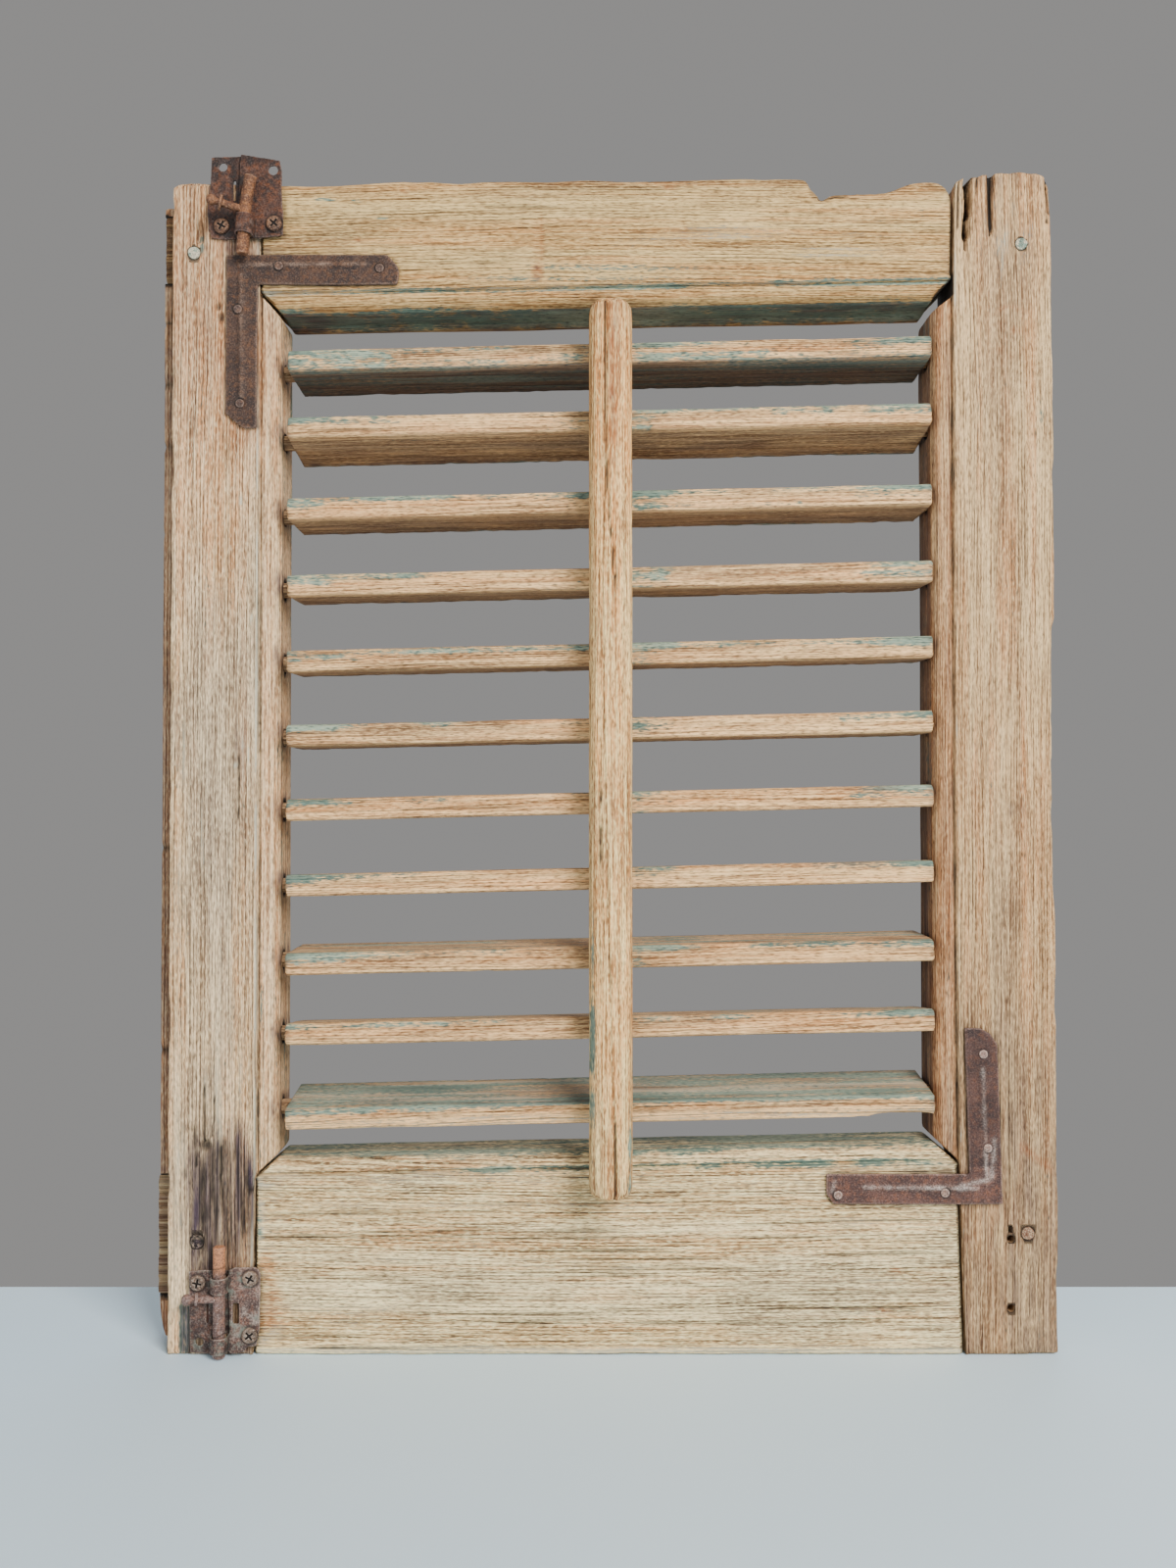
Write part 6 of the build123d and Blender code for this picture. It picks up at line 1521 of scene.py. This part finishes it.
# =====================================================================
# pegs: end grain discs with paint remains
# =====================================================================
def joint_pegs():
    parts = []
    for n, (px, pz, r, green) in enumerate(((-185.5, 496.3, 2.85, 0.9), (189.7, 500.4, 2.75, 0.7), (-182.0, 50.3, 3.15, 0.2), (190.3, 54.0, 2.95, 0.2))):
        ys = np.concatenate([np.linspace(-14.3, -12.5, 4), np.linspace(-9, 13.4, 8)])
        nr = 28
        th = np.linspace(0, 2 * np.pi, nr, endpoint=False)
        rr = r * (1 + 0.03 * np.sin(3 * th + n) + 0.02 * np.sin(7 * th))
        P = [np.stack([px + rr * np.cos(th), np.full(nr, yv), pz + rr * np.sin(th)], -1) for yv in ys]
        F = []
        for k in range(len(ys) - 1):
            for i in range(nr):
                j = (i + 1) % nr
                F.append((k * nr + i, k * nr + j, (k + 1) * nr + j, (k + 1) * nr + i))
        P = np.concatenate(P)
        nP = len(P)
        ex = []
        for row, yv, sg in ((np.arange(nr), ys[0], 1), (np.arange((len(ys) - 1) * nr, len(ys) * nr), ys[-1], -1)):
            c = P[row].mean(0)
            prev = row
            for f in (0.86, 0.7, 0.54, 0.38, 0.2):
                loop = c + (P[row] - c) * f
                if sg > 0:
                    loop[:, 1] += -0.05 + 0.28 * (vn(loop[:, 0] / 0.9, loop[:, 2] / 0.9, 0.0, 400 + n) + 0.3)
                ids = np.arange(nP, nP + nr)
                ex.append(loop); nP += nr
                qd = np.stack([prev, ids, np.roll(ids, -1), np.roll(prev, -1)], -1)
                F += [tuple(v) for v in (qd if sg > 0 else qd[:, ::-1])]
                prev = ids
            ex.append(c[None]); ci = nP; nP += 1
            for q in range(0, nr, 2):
                qd = [prev[q], ci, prev[(q + 2) % nr], prev[(q + 1) % nr]]
                F.append(tuple(qd if sg > 0 else qd[::-1]))
        P = np.concatenate([P] + ex)
        F = orient(P, np.array(F))
        m = Masks(len(P))
        fr = (P[:, 1] < -13.4) * 1.0
        m.add("pale", fr * (0.75 * green + 0.25)); m.add("grey", 0.7 * fr)
        m.add("paint", fr * green * np.clip(0.45 + vn(P[:, 0] / 1.4, P[:, 2] / 1.4, 0, 410 + n), 0, 1))
        if n == 3:
            m.pale *= 0.1; m.add("stain_and_shade", 0.62 * fr); m.add("rust", 0.4 * fr)
        if n == 2:
            m.add("stain_and_shade", 0.95 * fr)
            m.add("dark", fr * np.clip(0.45 + 0.9 * vn(P[:, 0] / 1.1, P[:, 2] / 1.1, 0, 416), 0, 1))
        m.add("stain_and_shade", fr * (0.5 if green < 0.5 else 0.15) * np.clip(0.6 + vn(P[:, 0], P[:, 2], 0, 415 + n), 0, 1))
        rd = np.hypot(P[:, 0] - px, P[:, 2] - pz)
        m.add("dark", 0.45 * (P[:, 1] < -12) * sstep(r - 0.3, r, rd))
        at = m.attrs(); at["ring"] = rd / 1.1; at["gp"] = np.stack([P[:, 1], P[:, 0], P[:, 2]], -1) * MM
        at["mT"] = tone(P[:, 1], P[:, 0], P[:, 2], 430)
        parts.append((P, F, at))
    P, F, A = join_arrays(parts)
    ob = make_mesh("joint_pegs_wood", P, F, A)
    return settle(ob, "frame", ["joint_pegs"], M_STILE_L)


# =====================================================================
# metal: fine remesh of the true shapes, then pits, flakes and rounded edges
# =====================================================================
def metal(node, body, mat, voxel, amp, seed, smooth=2, pit=1.0, name=None, flake=0.0, wear_and_highlight=None, grime_and_shade=None):
    src = NODES[node]
    me = src.data.copy()
    ob = bpy.data.objects.new(name or (node + "_metal"), me)
    bpy.context.scene.collection.objects.link(ob)
    ob.data.materials.clear()
    md = ob.modifiers.new("r", "REMESH")
    md.mode = "VOXEL"
    md.voxel_size = voxel * MM
    md.adaptivity = 0.0
    dg = bpy.context.evaluated_depsgraph_get()
    new = bpy.data.meshes.new_from_object(ob.evaluated_get(dg))
    ob.modifiers.clear()
    ob.data = new
    bpy.data.meshes.remove(me)
    n = len(new.vertices)
    co = np.zeros(n * 3); new.vertices.foreach_get("co", co)
    P = co.reshape(-1, 3) / MM
    ed = np.zeros(len(new.edges) * 2, int); new.edges.foreach_get("vertices", ed)
    E = ed.reshape(-1, 2)
    deg = np.maximum(np.bincount(E.ravel(), minlength=n), 1).astype(float)
    for _i in range(smooth):
        P = P + 0.5 * (neighbour_mean(P, E, deg) - P)
    new.vertices.foreach_set("co", (P * MM).astype(np.float32).ravel())
    new.update()
    nr = np.zeros(n * 3); new.vertices.foreach_get("normal", nr)
    N = nr.reshape(-1, 3)
    x, y, z = P[:, 0], P[:, 1], P[:, 2]
    d = 0.5 * (1 + fbm(x / 5.0, y / 5.0, z / 5.0, seed, 3)) * 0.6
    d += 0.5 * (1 + fbm(x / 1.4, y / 1.4, z / 1.4, seed + 5, 2)) * 0.4
    d += pit * np.clip(vn(x / 1.1, y / 1.1, z / 1.1, seed + 9) - 0.45, 0, 1) * 1.6
    d += flake * sstep(0.25, 0.32, fbm(x / 7.0, y / 7.0, z / 7.0, seed + 12, 3)) * 0.9
    for an, fn in (("mW", wear_and_highlight), ("mK", grime_and_shade)):
        if fn is not None:
            at = new.attributes.new(an, "FLOAT", "POINT")
            at.data.foreach_set("value", np.clip(fn(x, y, z), 0, 1).astype(np.float32))
    P = P - N * (amp * d)[:, None]
    new.vertices.foreach_set("co", (P * MM).astype(np.float32).ravel())
    new.polygons.foreach_set("use_smooth", np.full(len(new.polygons), True))
    new.update()
    return settle(ob, body, [node], mat)


# =====================================================================
# build
# =====================================================================
stile("left")
stile("right")
rail("top")
rail("bottom")
for kk in range(11):
    slat(kk)
tilt_rod()
joint_pegs()

NAILS_T = [(-165.0, 469.9), (-163.9, 427.1), (-101.0, 488.6), (-146.6, 489.6)]
NAILS_B = [(170.2, 134.4), (172.0, 92.5), (152.8, 72.6), (104.9, 71.6)]
HEADS_T = [(-172.6, 507.9, YF - 1.1), (-148.6, 508.4, YF - 2.6)]
HEADS_B = [(-181.3, 32.4, YF - 1.1), (-157.4, 34.9, YF - 2.6), (-157.6, 9.7, YF - 2.6)]


def rib_wear_and_highlight(ribs, seed):
    """Bare, pale metal along the crest of each rib, also standing in as a painted highlight on the crest (ends,
    strength).
    """
    def f(x, y, z):
        w = 0.0
        for a, b, v in ribs:
            d = seg_dist(x + 0.25 * vn(z / 3.0, x / 3.0, 0.1, seed), z, a, b)[0]
            w = np.maximum(w, v * np.exp(-(d / 1.1) ** 2) * np.clip(0.55 + 1.1 * fbm(x / 5.0, z / 5.0, 0.3, seed + 1, 3), 0, 1))
        return w
    return f


def nail_grime_and_shadow(nails, seed, arm=0.0):
    def f(x, y, z):
        w = arm * (z > 84) + 0.16 * np.clip(fbm(x / 6.0, z / 6.0, 0.2, seed, 3) * 3, 0, 1)
        for nx, nz in nails:
            r = np.hypot(x - nx, z - nz)
            # painted shadow: a dark ring round each nail head, heavier on one side
            w = np.maximum(w, 0.9 * np.exp(-((r - 2.35) / 0.45) ** 2) * np.clip(0.65 + 0.7 * np.sin(np.arctan2(z - nz, x - nx) + nx), 0, 1))
        return w
    return f


def cross_slot_shade_and_grime(heads):
    def f(x, y, z):
        w = np.zeros_like(x)
        for hx, hz, hy in heads:
            r = np.hypot(x - hx, z - hz)
            # painted shade in the recess of each screw head's cross slot
            w = np.maximum(w, (r < 2.5) * sstep(0.22, 0.5, y - (y[(r < 2.0)].min() if (r < 2.0).any() else -99)) * (y < hy - 0.02))
        return w
    return f


def plate_top_shade_and_grime(x, y, z):
    n = np.clip(0.7 + 0.9 * fbm(x / 3.0, z / 3.0, 0.2, 611, 3), 0, 1)
    c = -164.8 - 0.02 * (z - 520.0)
    # painted shade in the rod gutter, with grime patches and painted shadow rings round the screw heads
    w = 0.95 * sstep(4.2, 1.2, np.abs(x - c + 0.6)) * sstep(509, 514, z)
    w = np.maximum(w, 0.85 * blob(x, z, -169.0, 516.0, 9.0, 7.0))
    w = np.maximum(w, 0.6 * blob(x, z, -155.0, 539.0, 9.0, 5.0))
    for hx, hz, hy in HEADS_T:
        w = np.maximum(w, 0.8 * np.exp(-((np.hypot(x - hx, z - hz) - 3.9) / 0.7) ** 2))
    return w * n


def plate_bottom_shade_and_grime(x, y, z):
    n = np.clip(0.75 + 0.9 * fbm(x / 2.5, z / 2.5, 0.2, 612, 3), 0, 1)
    # painted shade beside the rod channel and along a line at x -166.9, grime at the foot, painted shadow rings round
    # the screw heads
    w = 0.9 * sstep(4.4, 2.9, np.abs(x + 170.8)) * (y > YF - 2.2)
    w = np.maximum(w, 0.5 * (x < -173.5) * (z < 26))
    w = np.maximum(w, 0.8 * sstep(1.3, 0.3, np.abs(x + 166.9)))
    w = np.maximum(w, 0.7 * blob(x, z, -174.5, 20.0, 3.4, 18.0, 3.0))
    w = np.maximum(w, 0.75 * sstep(5.5, 1.0, z) * (x > -167) * np.clip(0.2 + 1.4 * vn(x / 1.6, z / 2.0, 0.3, 613), 0, 1))
    for hx, hz, hy in HEADS_B:
        w = np.maximum(w, 0.8 * np.exp(-((np.hypot(x - hx, z - hz) - 3.9) / 0.7) ** 2))
    return w * n


metal("corner_iron_top", "frame", M_IRON, 0.55, 0.20, 501, 2, 1.0, flake=0.6,
      wear_and_highlight=rib_wear_and_highlight([((-163.6, 485.4), (-163.3, 429.8), 0.5), ((-160.0, 490.2), (-108.0, 490.6), 0.95)], 621), grime_and_shade=nail_grime_and_shadow(NAILS_T, 622))
metal("corner_iron_bottom", "frame", M_IRON_B, 0.55, 0.20, 502, 2, 1.0, flake=0.6,
      wear_and_highlight=rib_wear_and_highlight([((171.4, 78.4), (169.8, 127.4), 0.8), ((167.0, 74.6), (117.0, 75.2), 0.95), ((174.0, 79.0), (175.0, 96.0), 0.9), ((160.0, 75.5), (174.0, 79.0), 0.8), ((102.5, 73.0), (104.0, 79.0), 0.5)], 623),
      grime_and_shade=nail_grime_and_shadow(NAILS_B, 624, 0.34))
metal("corner_nails_top", "frame", M_NAIL, 0.28, 0.08, 503, 2)
metal("corner_nails_bottom", "frame", M_NAIL_B, 0.28, 0.08, 504, 2)
metal("bolt_plate_top", "frame", M_PLATE, 0.36, 0.16, 505, 2, 1.0, flake=0.6, grime_and_shade=plate_top_shade_and_grime,
      wear_and_highlight=lambda x, y, z: 0.8 * (y < YF - 4.6) * np.clip(1.6 * fbm(x / 2.5, z / 2.5, 0.1, 631, 3) + 0.1, 0, 1))
metal("bolt_plate_bottom", "frame", M_PLATE_B, 0.36, 0.16, 506, 2, 1.0, flake=0.6, grime_and_shade=plate_bottom_shade_and_grime,
      wear_and_highlight=lambda x, y, z: 0.75 * (x > -166.5) * np.clip(1.5 * fbm(x / 4.0, z / 4.0, 0.1, 632, 3) + 0.1, 0, 1))
metal("bolt_rod_top", "bolt_top", M_BOLT, 0.30, 0.09, 507, 2)
metal("bolt_rod_bottom", "bolt_bottom", M_BOLT_B, 0.30, 0.09, 508, 2, wear_and_highlight=lambda x, y, z: 0.9 * sstep(36.5, 41.0, z),
      grime_and_shade=lambda x, y, z: 0.75 * np.exp(-((z - 10.6 - 0.35 * (x + 170.8)) / 0.45) ** 2) + 0.6 * np.exp(-((z - 40.4 - 0.2 * (x + 170.8)) / 0.4) ** 2))
metal("bolt_knob_top", "bolt_top", M_BOLT, 0.26, 0.08, 509, 2)
metal("bolt_knob_bottom", "bolt_bottom", M_BOLT_B, 0.26, 0.08, 510, 2)
metal("bolt_screws_top", "frame", M_SCREW_T, 0.20, 0.04, 511, 1, grime_and_shade=cross_slot_shade_and_grime(HEADS_T))
metal("bolt_screws_bottom", "frame", M_SCREW, 0.20, 0.04, 512, 1, grime_and_shade=cross_slot_shade_and_grime(HEADS_B))
for kk in range(11):
    nd = NODES["slat_staple_%02d" % (kk + 1)]
    nd.data.materials.clear()
    nd.data.materials.append(M_WIRE)
nd = NODES["rod_staples"]
nd.data.materials.clear()
nd.data.materials.append(M_WIRE)

# floor: a plain pale shelf
ft = G("floor")
ft.bsdf.inputs["Base Color"].default_value = srgb(226, 228, 228) + (1,)
ft.bsdf.inputs["Roughness"].default_value = 0.6
nfl = ft.noise(ft.n("ShaderNodeTexCoord").outputs["Object"], 6, 3, 0.5)
ft.l(ft.mix(nfl, srgb(209, 234, 252), srgb(219, 242, 255)), ft.bsdf.inputs["Base Color"])
fme = bpy.data.meshes.new("floor")
fx, fy0, fy1, fz = 3.0, -2.0, 0.07, -0.0002
fme.from_pydata([(-fx, fy0, fz), (fx, fy0, fz), (fx, fy1, fz), (-fx, fy1, fz)], [], [(0, 1, 2, 3)])
fme.materials.append(ft.mat)
floor = bpy.data.objects.new("floor", fme)
bpy.context.scene.collection.objects.link(floor)

tris = {o.name: sum(len(p.vertices) - 2 for p in o.data.polygons) for o in bpy.data.objects if o.type == "MESH" and not o.hide_render}
print("TRIS total", sum(tris.values()), "largest", sorted(tris.items(), key=lambda a: -a[1])[:8])
